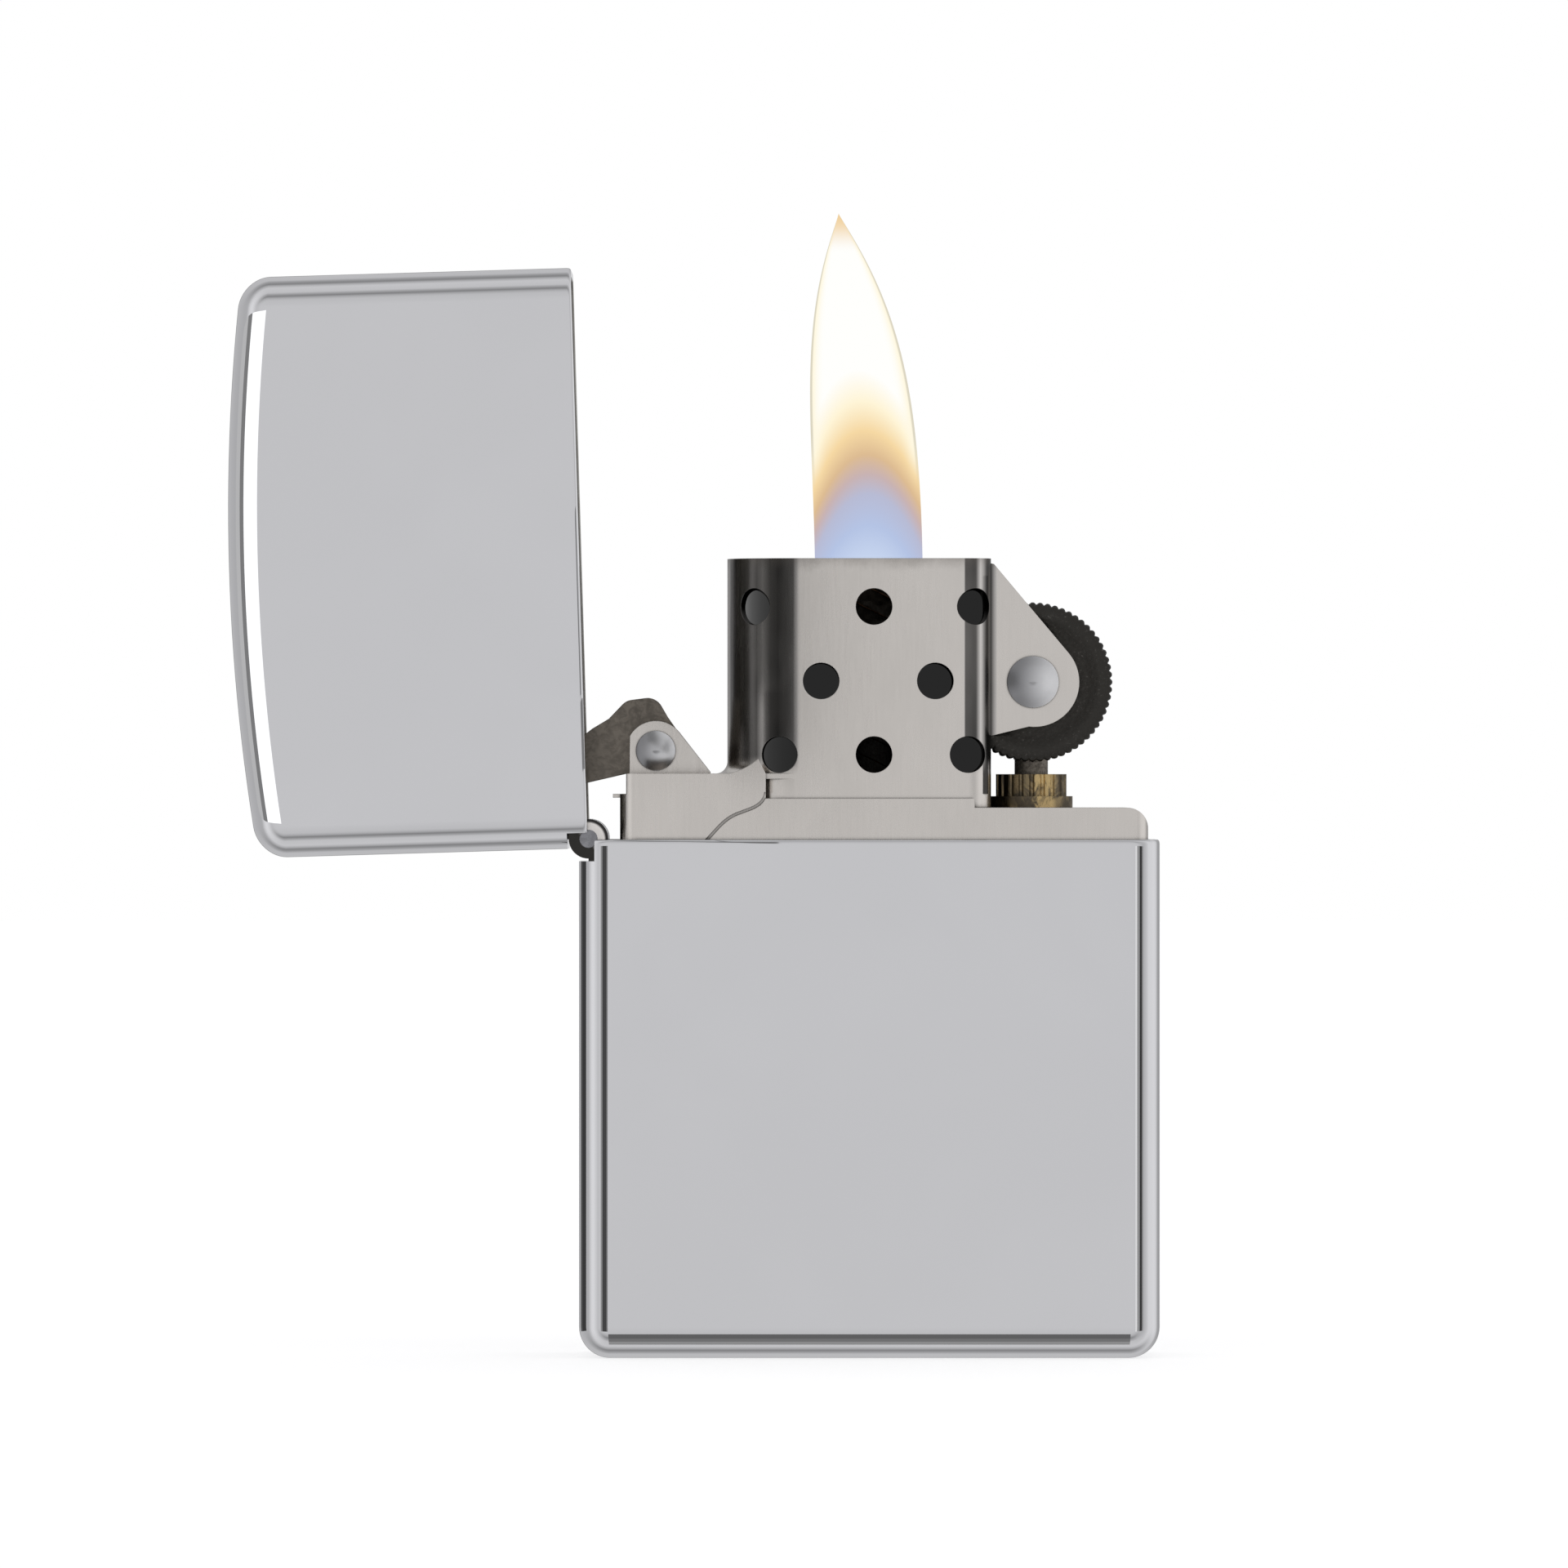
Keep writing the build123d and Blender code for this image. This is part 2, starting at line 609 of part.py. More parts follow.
with BuildPart() as cam_bracket:
    with BuildSketch(Plane.XY.offset(SHOULDER_Z)):
        with Locations(((BRACKET_LEFT + BRACKET_RIGHT) / 2, 0)):
            Rectangle(BRACKET_RIGHT - BRACKET_LEFT, 2 * (CAM_EAR_INNER + CHIMNEY_SHEET))
    extrude(amount=BRACKET_BASE)
    with BuildSketch(Plane.XZ.offset(CAM_EAR_INNER)):
        with BuildLine():
            crown = CenterArc((CAM_X, CAM_Z), CAM_EAR_R, *CROWN_ARC)
            Polyline(
                crown @ 1,
                (BRACKET_LEFT, CAM_Z),
                (BRACKET_LEFT, SHOULDER_Z),
                (BRACKET_RIGHT, SHOULDER_Z),
                (BRACKET_RIGHT, RAIL_TOP_Z + BRACKET_SIDE),
                crown @ 0,
            )
        make_face()
    bracket_ear = extrude(amount=CHIMNEY_SHEET)
    mirror(bracket_ear, about=Plane.XZ)
    with BuildSketch(Plane.XZ):
        with Locations((CAM_X, CAM_Z)):
            Circle(CAM_PIN_R)
    extrude(amount=HALF_DEPTH, both=True, mode=Mode.SUBTRACT)
    with BuildSketch(Plane.XY.offset(BRACKET_TOP_Z)):
        with Locations((RIVET_X, 0)):
            Circle(SPRING_RIVET_R)
    extrude(amount=-BRACKET_BASE, mode=Mode.SUBTRACT)
save(cam_bracket, "cam_bracket")

# The cam's heel has two flats at the same distance from its pin, a lid's swing apart: one rests
# on the spring with the lid open, the other with it closed, and the corner between them must
# push the spring down to change over.
flat_turn = math.radians(CAM_TURN)
heel_corner = CAM_FLAT * math.tan(flat_turn / 2)
SECOND_FLAT = 0.6
second_flat_end = (
    CAM_FLAT * math.sin(flat_turn) + SECOND_FLAT * math.cos(flat_turn),
    -CAM_FLAT * math.cos(flat_turn) + SECOND_FLAT * math.sin(flat_turn),
)
# the cam's outline from its first flat along the lever to its crown, measured from its pin
CAM_HEEL_END = -1.0
CAM_LEVER = (
    (-1.9, -1.5),
    (-6.55, -2.58),
    (-7.62, -1.9),
    (-7.3, -0.95),
    (-4.17, 1.46),
    (-3.1, 2.1),
    (-1.95, 3.3),
    (0.0, 3.55),
    (0.75, 2.25),
)

with BuildPart() as cam:
    with BuildSketch(Plane((CAM_X, 0, CAM_Z), x_dir=(1, 0, 0), z_dir=(0, -1, 0))) as profile:
        with BuildLine():
            Polyline(
                (heel_corner, -CAM_FLAT),
                (CAM_HEEL_END, -CAM_FLAT),
                *CAM_LEVER,
                second_flat_end,
                close=True,
            )
        make_face()
        fillet(profile.vertices().sort_by(Axis.Y)[-2:], 2 * CAM_BLEND_R)
        fillet(profile.vertices().sort_by(Axis.X)[:3], CAM_BLEND_R)
        Circle(CAM_PIN_R + CAM_PIN_CLEARANCE, mode=Mode.SUBTRACT)
    extrude(amount=CAM_HALF_WIDTH, both=True)
save(cam, "cam")

SPRING_GAP = 0.05
SPRING_HIGH_Z = CAM_Z - CAM_FLAT - SPRING_GAP - SPRING_LEAF_THICK / 2
SPRING_MID_Z = BRACKET_TOP_Z + SPRING_LEAF_THICK / 2
SPRING_BEND_R = 0.3
# the leaf's line: clamped end, start of its rise, crest, and the tip that turns down
SPRING_LINE = (
    (RIVET_X + 1.2, SPRING_MID_Z),
    (RIVET_X - 1.1, SPRING_MID_Z),
    (RIVET_X - 2.0, SPRING_HIGH_Z),
    (BRACKET_LEFT + 0.7, SPRING_HIGH_Z),
    (BRACKET_LEFT + 0.2, SPRING_HIGH_Z - 0.575),
)

with BuildPart() as cam_spring:
    with BuildSketch(Plane.XZ) as strip:
        with BuildLine():
            FilletPolyline(*SPRING_LINE, radius=SPRING_BEND_R)
        trace(line_width=SPRING_LEAF_THICK)
    extrude(amount=SPRING_LEAF_WIDTH / 2, both=True)
    with BuildSketch(Plane.XY.offset(BRACKET_TOP_Z)):
        with Locations((RIVET_X, 0)):
            Circle(SPRING_RIVET_R)
    extrude(amount=SPRING_LEAF_THICK, mode=Mode.SUBTRACT)
save(cam_spring, "cam_spring")

SPRING_RIVET_HEAD_R = 0.9
SPRING_RIVET_HEAD = 0.3

with BuildPart() as spring_rivet:
    with BuildSketch(Plane.XY.offset(TOP_PLATE_Z - SPRING_RIVET_HEAD)):
        with Locations((RIVET_X, 0)):
            Circle(SPRING_RIVET_HEAD_R)
    extrude(amount=SPRING_RIVET_HEAD)
    with BuildSketch(Plane.XY.offset(TOP_PLATE_Z)):
        with Locations((RIVET_X, 0)):
            Circle(SPRING_RIVET_R)
    extrude(amount=SHEET + BRACKET_BASE + SPRING_LEAF_THICK)
    with BuildSketch(Plane.XY.offset(BRACKET_TOP_Z + SPRING_LEAF_THICK)):
        with Locations((RIVET_X, 0)):
            Circle(SPRING_RIVET_HEAD_R)
    extrude(amount=SPRING_RIVET_HEAD)
save(spring_rivet, "spring_rivet")


# ---------------------------------------------------------------- flint tube, flint, spring and screw
with BuildPart() as flint_tube:
    with BuildSketch(Plane.XY.offset(TUBE_BOTTOM_Z)):
        with Locations((TUBE_X, 0)):
            Circle(TUBE_R)
    extrude(amount=SHOULDER_Z - TUBE_BOTTOM_Z)
    with BuildSketch(Plane.XY.offset(SHOULDER_Z)):
        with Locations((TUBE_X, 0)):
            Circle(FLANGE_R)
    extrude(amount=FLANGE_TOP_Z - SHOULDER_Z)
    with BuildSketch(Plane.XY.offset(FLANGE_TOP_Z)):
        with Locations((TUBE_X, 0)):
            Circle(COLLAR_R)
            with PolarLocations(COLLAR_R, FLUTES):
                Circle(FLUTE_R, mode=Mode.SUBTRACT)
    extrude(amount=COLLAR_TOP_Z - FLANGE_TOP_Z)
    with BuildSketch(Plane.XY):
        with Locations((TUBE_X, 0)):
            Circle(TUBE_BORE_R)
    extrude(amount=CLOSED_HEIGHT, mode=Mode.SUBTRACT)
save(flint_tube, "flint_tube")

with BuildPart() as flint:
    with BuildSketch(Plane.XY.offset(FLINT_BOTTOM_Z)):
        with Locations((TUBE_X, 0)):
            Circle(FLINT_R)
    extrude(amount=FLINT_LENGTH + 2 * FLINT_GAP)
    # the wheel wears the flint's top hollow
    with BuildSketch(Plane.XZ):
        with Locations((WHEEL_X, WHEEL_Z)):
            Circle(BAND_R + FLINT_GAP)
    extrude(amount=HALF_DEPTH, both=True, mode=Mode.SUBTRACT)
save(flint, "flint")

with BuildPart() as spring_tip:
    with BuildSketch(Plane.XY.offset(TIP_BOTTOM_Z)):
        with Locations((TUBE_X, 0)):
            Circle(FLINT_R)
    extrude(amount=TIP_LENGTH)
    chamfer(spring_tip.edges().group_by(Axis.Z)[0], TIP_CHAMFER)
save(spring_tip, "spring_tip")

with BuildPart() as flint_screw:
    with BuildSketch(Plane.XY.offset(SCREW_HEAD_BOTTOM_Z)):
        with Locations((TUBE_X, 0)):
            Circle(SCREW_HEAD_R)
    extrude(amount=SCREW_HEAD_TOP_Z - SCREW_HEAD_BOTTOM_Z)
    with BuildSketch(Plane.XY.offset(SCREW_HEAD_TOP_Z)):
        with Locations((TUBE_X, 0)):
            Circle(SCREW_SHANK_R)
    extrude(amount=SCREW_SHANK_TOP_Z - SCREW_HEAD_TOP_Z)
    chamfer(flint_screw.edges().group_by(Axis.Z)[0], SCREW_CHAMFER)
    with BuildSketch(Plane.XY.offset(SCREW_HEAD_BOTTOM_Z)):
        with Locations((TUBE_X, 0)):
            Rectangle(SCREW_SLOT, 3 * SCREW_HEAD_R)
    extrude(amount=SCREW_SLOT, mode=Mode.SUBTRACT)
save(flint_screw, "flint_screw")

# the coil's wire ends stop just short of the screw and the tip
COIL_START_Z = SCREW_SHANK_TOP_Z + COIL_WIRE_R + COIL_GAP
COIL_LENGTH = TIP_BOTTOM_Z - COIL_WIRE_R - COIL_GAP - COIL_START_Z

with BuildPart() as flint_spring:
    with BuildLine(Plane((TUBE_X, 0, COIL_START_Z))) as coil:
        Helix(pitch=COIL_LENGTH / COIL_TURNS, height=COIL_LENGTH, radius=COIL_R)
    with BuildSketch(Plane(coil.line @ 0, z_dir=coil.line % 0)):
        Circle(COIL_WIRE_R)
    sweep(is_frenet=True)
save(flint_spring, "flint_spring")


# ---------------------------------------------------------------- wick, packing and felt
RUN_LEFT = -12.2
RUN_RIGHT = 5.4
RUN_Z = (30.6, 22.6, 14.6)
TURN_R = 3.9
TAIL_GAP = 1.0

wick_points = [(WICK_X, 0, WICK_TOP_Z), (WICK_X, 0, RUN_Z[0])]
for level, run_z in enumerate(RUN_Z):
    end_x = RUN_LEFT if level % 2 == 0 else RUN_RIGHT
    wick_points.append((end_x, 0, run_z))
    if level + 1 < len(RUN_Z):
        wick_points.append((end_x, 0, RUN_Z[level + 1]))
wick_points.append((RUN_LEFT, 0, FELT_TOP_Z + TAIL_GAP))

with BuildPart() as wick:
    with BuildLine() as wick_path:
        FilletPolyline(*wick_points, radius=TURN_R)
    with BuildSketch(Plane(wick_path.line @ 0, z_dir=wick_path.line % 0)):
        Circle(WICK_R)
    sweep()
save(wick, "wick")

PAD_R = 1.0
PAD_GAP = 0.35
PAD_DEPTH = 9.4
PAD_TOP_GAP = 1.0
pad_edge = WICK_R + PAD_GAP
turn_edge = pad_edge + PAD_R
inner_left = TANK_LEFT + SHEET + PAD_GAP
inner_top = TOP_PLATE_Z - PAD_TOP_GAP
tube_left = TUBE_X - TUBE_R - PAD_GAP
tube_right = TUBE_X + TUBE_R + PAD_GAP
# (left, right, bottom, top) of each wad of packing, between the runs of the wick
PADS = (
    (inner_left, WICK_X - TURN_R, RUN_Z[0] + pad_edge, inner_top),
    (RUN_LEFT + turn_edge, tube_left, RUN_Z[1] + pad_edge, RUN_Z[0] - pad_edge),
    (inner_left, RUN_RIGHT - turn_edge, RUN_Z[2] + pad_edge, RUN_Z[1] - pad_edge),
    (RUN_LEFT + turn_edge, tube_left, FELT_TOP_Z + PAD_GAP, RUN_Z[2] - pad_edge),
    (tube_right, TANK_RIGHT - SHEET - PAD_GAP, FELT_TOP_Z + PAD_GAP, inner_top),
)


def packing_wad(left, right, bottom, top):
    """A wad of absorbent packing with all its edges rounded."""
    with BuildPart() as wad:
        with BuildSketch(Plane.XY.offset(bottom)):
            with Locations(((left + right) / 2, 0)):
                Rectangle(right - left, PAD_DEPTH)
        extrude(amount=top - bottom)
        fillet(wad.edges(), PAD_R)
    return wad


for number, limits in enumerate(PADS, start=1):
    save(packing_wad(*limits), f"packing_{number}")

FELT_GAP = 0.15

with BuildPart() as felt_pad:
    with BuildSketch(Plane.XY.offset(FELT_BOTTOM_Z)):
        with Locations((TANK_CENTRE, 0)):
            RectangleRounded(
                TANK_WIDTH - 2 * (SHEET + FELT_GAP),
                2 * (TANK_HALF_DEPTH - SHEET - FELT_GAP),
                TANK_EDGE_R - SHEET,
            )
        with Locations((TUBE_X, 0)):
            Circle(SCREW_HEAD_R + PAD_GAP, mode=Mode.SUBTRACT)
    extrude(amount=FELT_TOP_Z - FELT_BOTTOM_Z)
save(felt_pad, "felt_pad")
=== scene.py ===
"""Looks of the flip-top lighter: chrome shell, satin steel insert, spark wheel, wick and flame.

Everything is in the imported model's frame. Hand-built shapes are drawn in millimetres and scaled
by MM when their mesh is made; materials read object space in millimetres too.
"""

import json
import math

import bmesh
import bpy
from mathutils import Matrix, Vector, noise


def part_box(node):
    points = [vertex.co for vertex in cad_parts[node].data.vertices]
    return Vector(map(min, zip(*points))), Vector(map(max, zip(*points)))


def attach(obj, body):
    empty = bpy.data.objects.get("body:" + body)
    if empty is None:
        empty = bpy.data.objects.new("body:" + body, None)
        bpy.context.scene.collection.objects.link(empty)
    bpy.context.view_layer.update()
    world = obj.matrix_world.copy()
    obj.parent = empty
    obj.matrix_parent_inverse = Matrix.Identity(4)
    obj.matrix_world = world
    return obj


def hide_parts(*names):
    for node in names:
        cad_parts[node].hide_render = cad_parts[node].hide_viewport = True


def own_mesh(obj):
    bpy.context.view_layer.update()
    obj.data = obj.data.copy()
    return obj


MM = 0.001

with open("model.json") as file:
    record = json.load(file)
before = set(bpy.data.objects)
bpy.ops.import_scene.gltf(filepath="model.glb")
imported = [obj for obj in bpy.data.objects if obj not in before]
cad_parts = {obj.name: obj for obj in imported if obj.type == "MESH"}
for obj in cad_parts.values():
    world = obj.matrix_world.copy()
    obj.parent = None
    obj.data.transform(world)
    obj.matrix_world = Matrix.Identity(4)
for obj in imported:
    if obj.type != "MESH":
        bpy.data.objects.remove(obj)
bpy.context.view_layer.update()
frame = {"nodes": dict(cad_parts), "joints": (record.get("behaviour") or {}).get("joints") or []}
nodes = frame["nodes"]
joints = {joint["name"]: joint for joint in frame["joints"]}


def box_mm(node):
    """Lowest and highest corner of a CAD node in millimetres."""
    low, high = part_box(node)
    return low / MM, high / MM


def pivot_mm(joint):
    """A joint's position in millimetres."""
    return Vector(joints[joint]["pos_m"]) / MM


# ---------------- places and sizes, from the frame
case_low, case_high = box_mm("bottom_case")
chimney_high = box_mm("chimney")[1]
wheel_low, wheel_high = box_mm("flint_wheel")
wick_low, wick_high = box_mm("wick")
felt_low, felt_high = box_mm("felt_pad")
screw_low, screw_high = box_mm("flint_screw")
HINGE = pivot_mm("lid_swing")
AXLE = pivot_mm("wheel_spin")
OPEN_ANGLE = -math.radians(joints["lid_swing"]["range_deg"][0])
HALF_WIDTH = (case_high.x - case_low.x) / 2
HALF_DEPTH = case_high.y
RIM_Z = case_high.z
PARTING = HINGE.z - RIM_Z

# sizes that the frame's boxes don't give, the same as in the CAD model
WALL = 0.62
EDGE_R = 1.65
LID_HEIGHT = 23.0
DOME_R = 133.0
NOTCH_X = -18.07
NOTCH_HEIGHT = 1.42
PANEL_INSET = 2.3
PANEL_DEPTH = 0.3
# rounding of the drawn shells across their width and at their closed ends, wider than the CAD's
FACE_R = 2.05


# ---------------- node helpers
def plug(tree, value, socket):
    """Links a socket into another one, or sets that one to a plain value."""
    if isinstance(value, bpy.types.NodeSocket):
        tree.links.new(value, socket)
    else:
        socket.default_value = value


def maths(tree, operation, first, second=0.0):
    """The result of one sum on two sockets or numbers."""
    node = tree.nodes.new("ShaderNodeMath")
    node.operation = operation
    plug(tree, first, node.inputs[0])
    plug(tree, second, node.inputs[1])
    return node.outputs[0]


def mix(tree, factor, first, second):
    """Blends two colours, given as triples or sockets, by a 0 to 1 socket."""
    node = tree.nodes.new("ShaderNodeMix")
    node.data_type = "RGBA"
    plug(tree, factor, node.inputs["Factor"])
    for socket, value in ((node.inputs[6], first), (node.inputs[7], second)):
        plain = isinstance(value, (tuple, list))
        plug(tree, (*value, 1) if plain else value, socket)
    return node.outputs[2]


def set_stops(ramp, stops):
    """Fills a colour ramp node from (position, colour) stops."""
    elements = ramp.color_ramp.elements
    while len(elements) < len(stops):
        elements.new(0.5)
    for element, (position, colour) in zip(elements, stops):
        element.position = position
        element.color = (*colour, 1)


# ---------------- finishes
WARM = (1.0, 0.96, 0.92)


class Finish:
    """A Principled material fed by textures in object space, measured in millimetres."""

    def __init__(self, name, colour, metallic=0.0, roughness=0.5):
        self.material = bpy.data.materials.new(name)
        self.material.use_nodes = True
        self.tree = self.material.node_tree
        self.shader = self.tree.nodes["Principled BSDF"]
        self.shader.inputs["Base Color"].default_value = (*colour, 1)
        self.shader.inputs["Metallic"].default_value = metallic
        self.shader.inputs["Roughness"].default_value = roughness
        self.place = self.tree.nodes.new("ShaderNodeTexCoord").outputs["Object"]

    def add(self, kind, **inputs):
        """A new node with its inputs set to values or linked from sockets."""
        node = self.tree.nodes.new(kind)
        for key, value in inputs.items():
            plug(self.tree, value, node.inputs[key.replace("_", " ")])
        return node

    def feed(self, value, name):
        """Links a socket into one of the shader's inputs."""
        self.tree.links.new(value, self.shader.inputs[name])

    def stretched(self, scale):
        """Object space with each axis multiplied: waves per millimetre."""
        node = self.add("ShaderNodeMapping", Vector=self.place)
        node.inputs["Scale"].default_value = [s / MM for s in scale]
        return node.outputs["Vector"]

    def noise(self, scale, detail=3.0, rough=0.55, warp=0.0):
        """Soft noise, 0 to 1, with scale waves per millimetre along each axis."""
        node = self.add(
            "ShaderNodeTexNoise",
            Vector=self.stretched(scale),
            Scale=1.0,
            Detail=detail,
            Roughness=rough,
            Distortion=warp,
        )
        return node.outputs["Fac"]

    def cells(self, scale, feature="F1"):
        """Voronoi distance, with scale cells per millimetre along each axis."""
        node = self.add("ShaderNodeTexVoronoi", Vector=self.stretched(scale), Scale=1.0)
        node.feature = feature
        return node.outputs["Distance"]

    def axis(self, name):
        """One object-space coordinate in millimetres."""
        split = self.add("ShaderNodeSeparateXYZ", Vector=self.place)
        return self.maths("MULTIPLY", split.outputs[name], 1 / MM)

    def maths(self, operation, first, second=0.0):
        """The result of one sum on two sockets or numbers."""
        return maths(self.tree, operation, first, second)

    def spread(self, value, low, high, to_low=0.0, to_high=1.0):
        """Maps low..high to to_low..to_high, clamped and eased at both ends."""
        node = self.add("ShaderNodeMapRange", Value=value)
        node.interpolation_type = "SMOOTHSTEP"
        names = ("From Min", "From Max", "To Min", "To Max")
        for name, number in zip(names, (low, high, to_low, to_high)):
            node.inputs[name].default_value = number
        return node.outputs["Result"]

    def mix(self, factor, first, second):
        """Blends two colours, given as triples or sockets, by a 0 to 1 socket."""
        return mix(self.tree, factor, first, second)

    def bump(self, height, depth_mm, strength=1.0, under=None):
        """Relief from a 0 to 1 height, depth_mm deep, over another relief if one is given."""
        node = self.add("ShaderNodeBump", Height=height, Distance=depth_mm * MM, Strength=strength)
        if under is not None:
            self.tree.links.new(under, node.inputs["Normal"])
        return node.outputs["Normal"]

    def worn_edges(self, radius_mm):
        """Normals that run softly over the piece's edges, as on tumbled sheet metal."""
        node = self.tree.nodes.new("ShaderNodeBevel")
        node.samples = 6
        node.inputs["Radius"].default_value = radius_mm * MM
        return node.outputs["Normal"]

    def tones(self, value, stops):
        """Warm greys along a value, from (value, grey) stops."""
        low, high = stops[0][0], stops[-1][0]
        share = self.maths("DIVIDE", self.maths("SUBTRACT", value, low), high - low)
        ramp = self.add("ShaderNodeValToRGB", Fac=share)
        warm = [[grey * share for share in WARM] for place, grey in stops]
        places = [(place - low) / (high - low) for place, grey in stops]
        set_stops(ramp, list(zip(places, warm)))
        return ramp.outputs["Color"]

    def open_air(self, reach_mm):
        """1 on open faces, falling to 0 in grooves and joints narrower than the reach."""
        node = self.tree.nodes.new("ShaderNodeAmbientOcclusion")
        node.samples = 8
        node.inputs["Distance"].default_value = reach_mm * MM
        return self.spread(node.outputs["AO"], 0.3, 0.85)


def chrome_finish(name, colour, roughness):
    """Polished plating with faint handling marks, hairline scratches and a very slight ripple."""
    f = Finish(name, colour, 1.0, roughness)
    smudge = f.noise((0.09, 0.09, 0.09), 2.0, 0.5, 0.6)
    hair = f.noise((0.35, 2.0, 9.0), 4.0, 0.7, 0.3)
    dull = f.maths("ADD", f.spread(smudge, 0.35, 0.75, 0.0, 0.01), f.spread(hair, 0.62, 0.8, 0.0, 0.03))
    f.feed(f.maths("ADD", dull, roughness), "Roughness")
    lighter = [min(1.0, c * 1.008) for c in colour]
    darker = [c * 0.992 for c in colour]
    f.feed(f.mix(f.spread(smudge, 0.3, 0.7), darker, lighter), "Base Color")
    ripple = f.noise((0.16, 0.16, 0.16), 1.0)
    f.feed(f.bump(hair, 0.00025, 0.5, f.bump(ripple, 0.002, 0.35)), "Normal")
    return f.material


def inside_finish():
    """Plating as it is inside a drawn shell: thinner, duller, with draw lines and a little soot."""
    f = Finish("chrome_inside", (0.5, 0.49, 0.46), 1.0, 0.34)
    lines = f.noise((2.4, 2.4, 0.12), 4.0, 0.6)
    soot = f.noise((0.12, 0.2, 0.12), 3.0, 0.6, 0.8)
    f.feed(f.mix(f.spread(soot, 0.45, 0.75), (0.5, 0.49, 0.46), (0.32, 0.3, 0.27)), "Base Color")
    f.feed(f.spread(lines, 0.3, 0.7, 0.26, 0.44), "Roughness")
    f.feed(f.bump(lines, 0.004, 0.4), "Normal")
    return f.material


STEEL = (0.79, 0.75, 0.705)


def satin(f, roughness):
    """Rolled stainless sheet: fine upright grain, soft cloudy tone, painted shade in its grooves and
    joints, edges broken by tumbling.
    """
    grain = f.noise((6.0, 6.0, 0.35), 5.0, 0.65)
    cloud = f.noise((0.22, 0.22, 0.14), 3.0, 0.55, 0.4)
    speck = f.noise((3.0, 3.0, 3.0), 3.0, 0.7)
    lighter = [min(1.0, c * 1.03) for c in STEEL]
    darker = [c * 0.97 for c in STEEL]
    tone = f.mix(f.spread(cloud, 0.3, 0.7), darker, lighter)
    tone = f.mix(f.spread(speck, 0.64, 0.8, 0.0, 0.22), tone, [c * 0.66 for c in STEEL])
    # painted shade: the steel's colour falls to a tenth of itself in grooves and joints
    tone = f.mix(f.open_air(0.45), [c * 0.1 for c in STEEL], tone)
    f.feed(tone, "Base Color")
    streaky = f.spread(grain, 0.3, 0.7, -0.025, 0.03)
    cloudy = f.spread(cloud, 0.3, 0.7, -0.02, 0.02)
    f.feed(f.maths("ADD", f.maths("ADD", streaky, cloudy), roughness), "Roughness")
    f.feed(f.bump(grain, 0.0012, 0.4, f.worn_edges(0.06)), "Normal")
    return tone


def stainless_finish():
    """The tank's and the bracket's satin sheet."""
    f = Finish("stainless_satin", STEEL, 1.0, 0.27)
    satin(f, 0.27)
    return f.material


# painted reflections in broad upright streaks on the chimney's nose and cheek:
# millimetres along the lighter's width, and tone
NOSE_REFLECTION_TONES = (
    (-9.3, 0.7), (-9.1, 0.05), (-8.6, 0.25), (-8.2, 0.08), (-7.8, 0.18), (-7.4, 0.06), (-7.0, 0.35),
    (-6.5, 0.1), (-6.0, 0.05), (-5.0, 0.15), (-4.5, 0.75),
)
CHEEK_REFLECTION_TONES = (
    (6.2, 0.75), (6.3, 0.1), (7.0, 0.1), (7.3, 0.7), (7.7, 0.05), (8.0, 0.05), (8.4, 0.75),
)


# where the painted reflection streaks fade in and out, along the width and up from the foot, and where
# soot starts
NOSE_EDGE_X = (-4.5, -4.8)
CHEEK_START_X = (6.2, 6.25)
CHEEK_END_X = (8.4, 8.35)
FOOT_Z = (38.2, 39.6)
MOUTH_Z = (52.4, 53.6)


def chimney_finish():
    """Satin steel with painted reflections as upright streaks on its round nose and its cheek, sooty at
    the mouth.
    """
    f = Finish("chimney_satin", STEEL, 1.0, 0.27)
    tone = satin(f, 0.25)
    x = f.axis("X")
    z = f.axis("Z")
    drift = f.noise((0.5, 0.5, 0.14), 2.0)
    there = f.maths("MULTIPLY", f.spread(z, *FOOT_Z), f.spread(drift, 0.2, 0.8, 0.88, 1.0))
    on_nose = f.maths("MULTIPLY", there, f.spread(x, *NOSE_EDGE_X))
    past_start = f.maths("MULTIPLY", there, f.spread(x, *CHEEK_START_X))
    on_cheek = f.maths("MULTIPLY", past_start, f.spread(x, *CHEEK_END_X))
    # painted reflections: the nose and then the cheek take their tones from the streak tables
    painted_streaks = f.mix(on_nose, tone, f.tones(x, NOSE_REFLECTION_TONES))
    painted_streaks = f.mix(on_cheek, painted_streaks, f.tones(x, CHEEK_REFLECTION_TONES))
    soot = f.noise((0.5, 0.5, 0.5), 4.0, 0.6)
    ragged = f.maths("ADD", z, f.maths("MULTIPLY", soot, 1.6))
    near_mouth = f.spread(ragged, *MOUTH_Z, 0.0, 0.45)
    f.feed(f.mix(near_mouth, painted_streaks, (0.2, 0.18, 0.16)), "Base Color")
    return f.material


def steel_finish(name, colour, roughness, mottle, depth_mm):
    """Plain hardened steel: mottled tone, rolled texture and rubbed edges."""
    f = Finish(name, colour, 1.0, roughness)
    spots = f.noise((1.6, 1.6, 1.6), 4.0, 0.65, 0.5)
    fine = f.noise((9.0, 9.0, 9.0), 3.0, 0.6)
    low = [c * (1 - mottle) for c in colour]
    high = [min(1.0, c * (1 + mottle)) for c in colour]
    f.feed(f.mix(f.spread(spots, 0.35, 0.68), low, high), "Base Color")
    f.feed(f.spread(spots, 0.3, 0.7, roughness - 0.06, roughness + 0.08), "Roughness")
    f.feed(f.bump(fine, depth_mm, 0.5, f.worn_edges(0.07)), "Normal")
    return f.material


# where each rivet head's painted reflection goes from grey to bright, across the lighter's width
WHEEL_RIVET_X = (9.7, 12.2)
CAM_RIVET_X = (-15.0, -13.2)


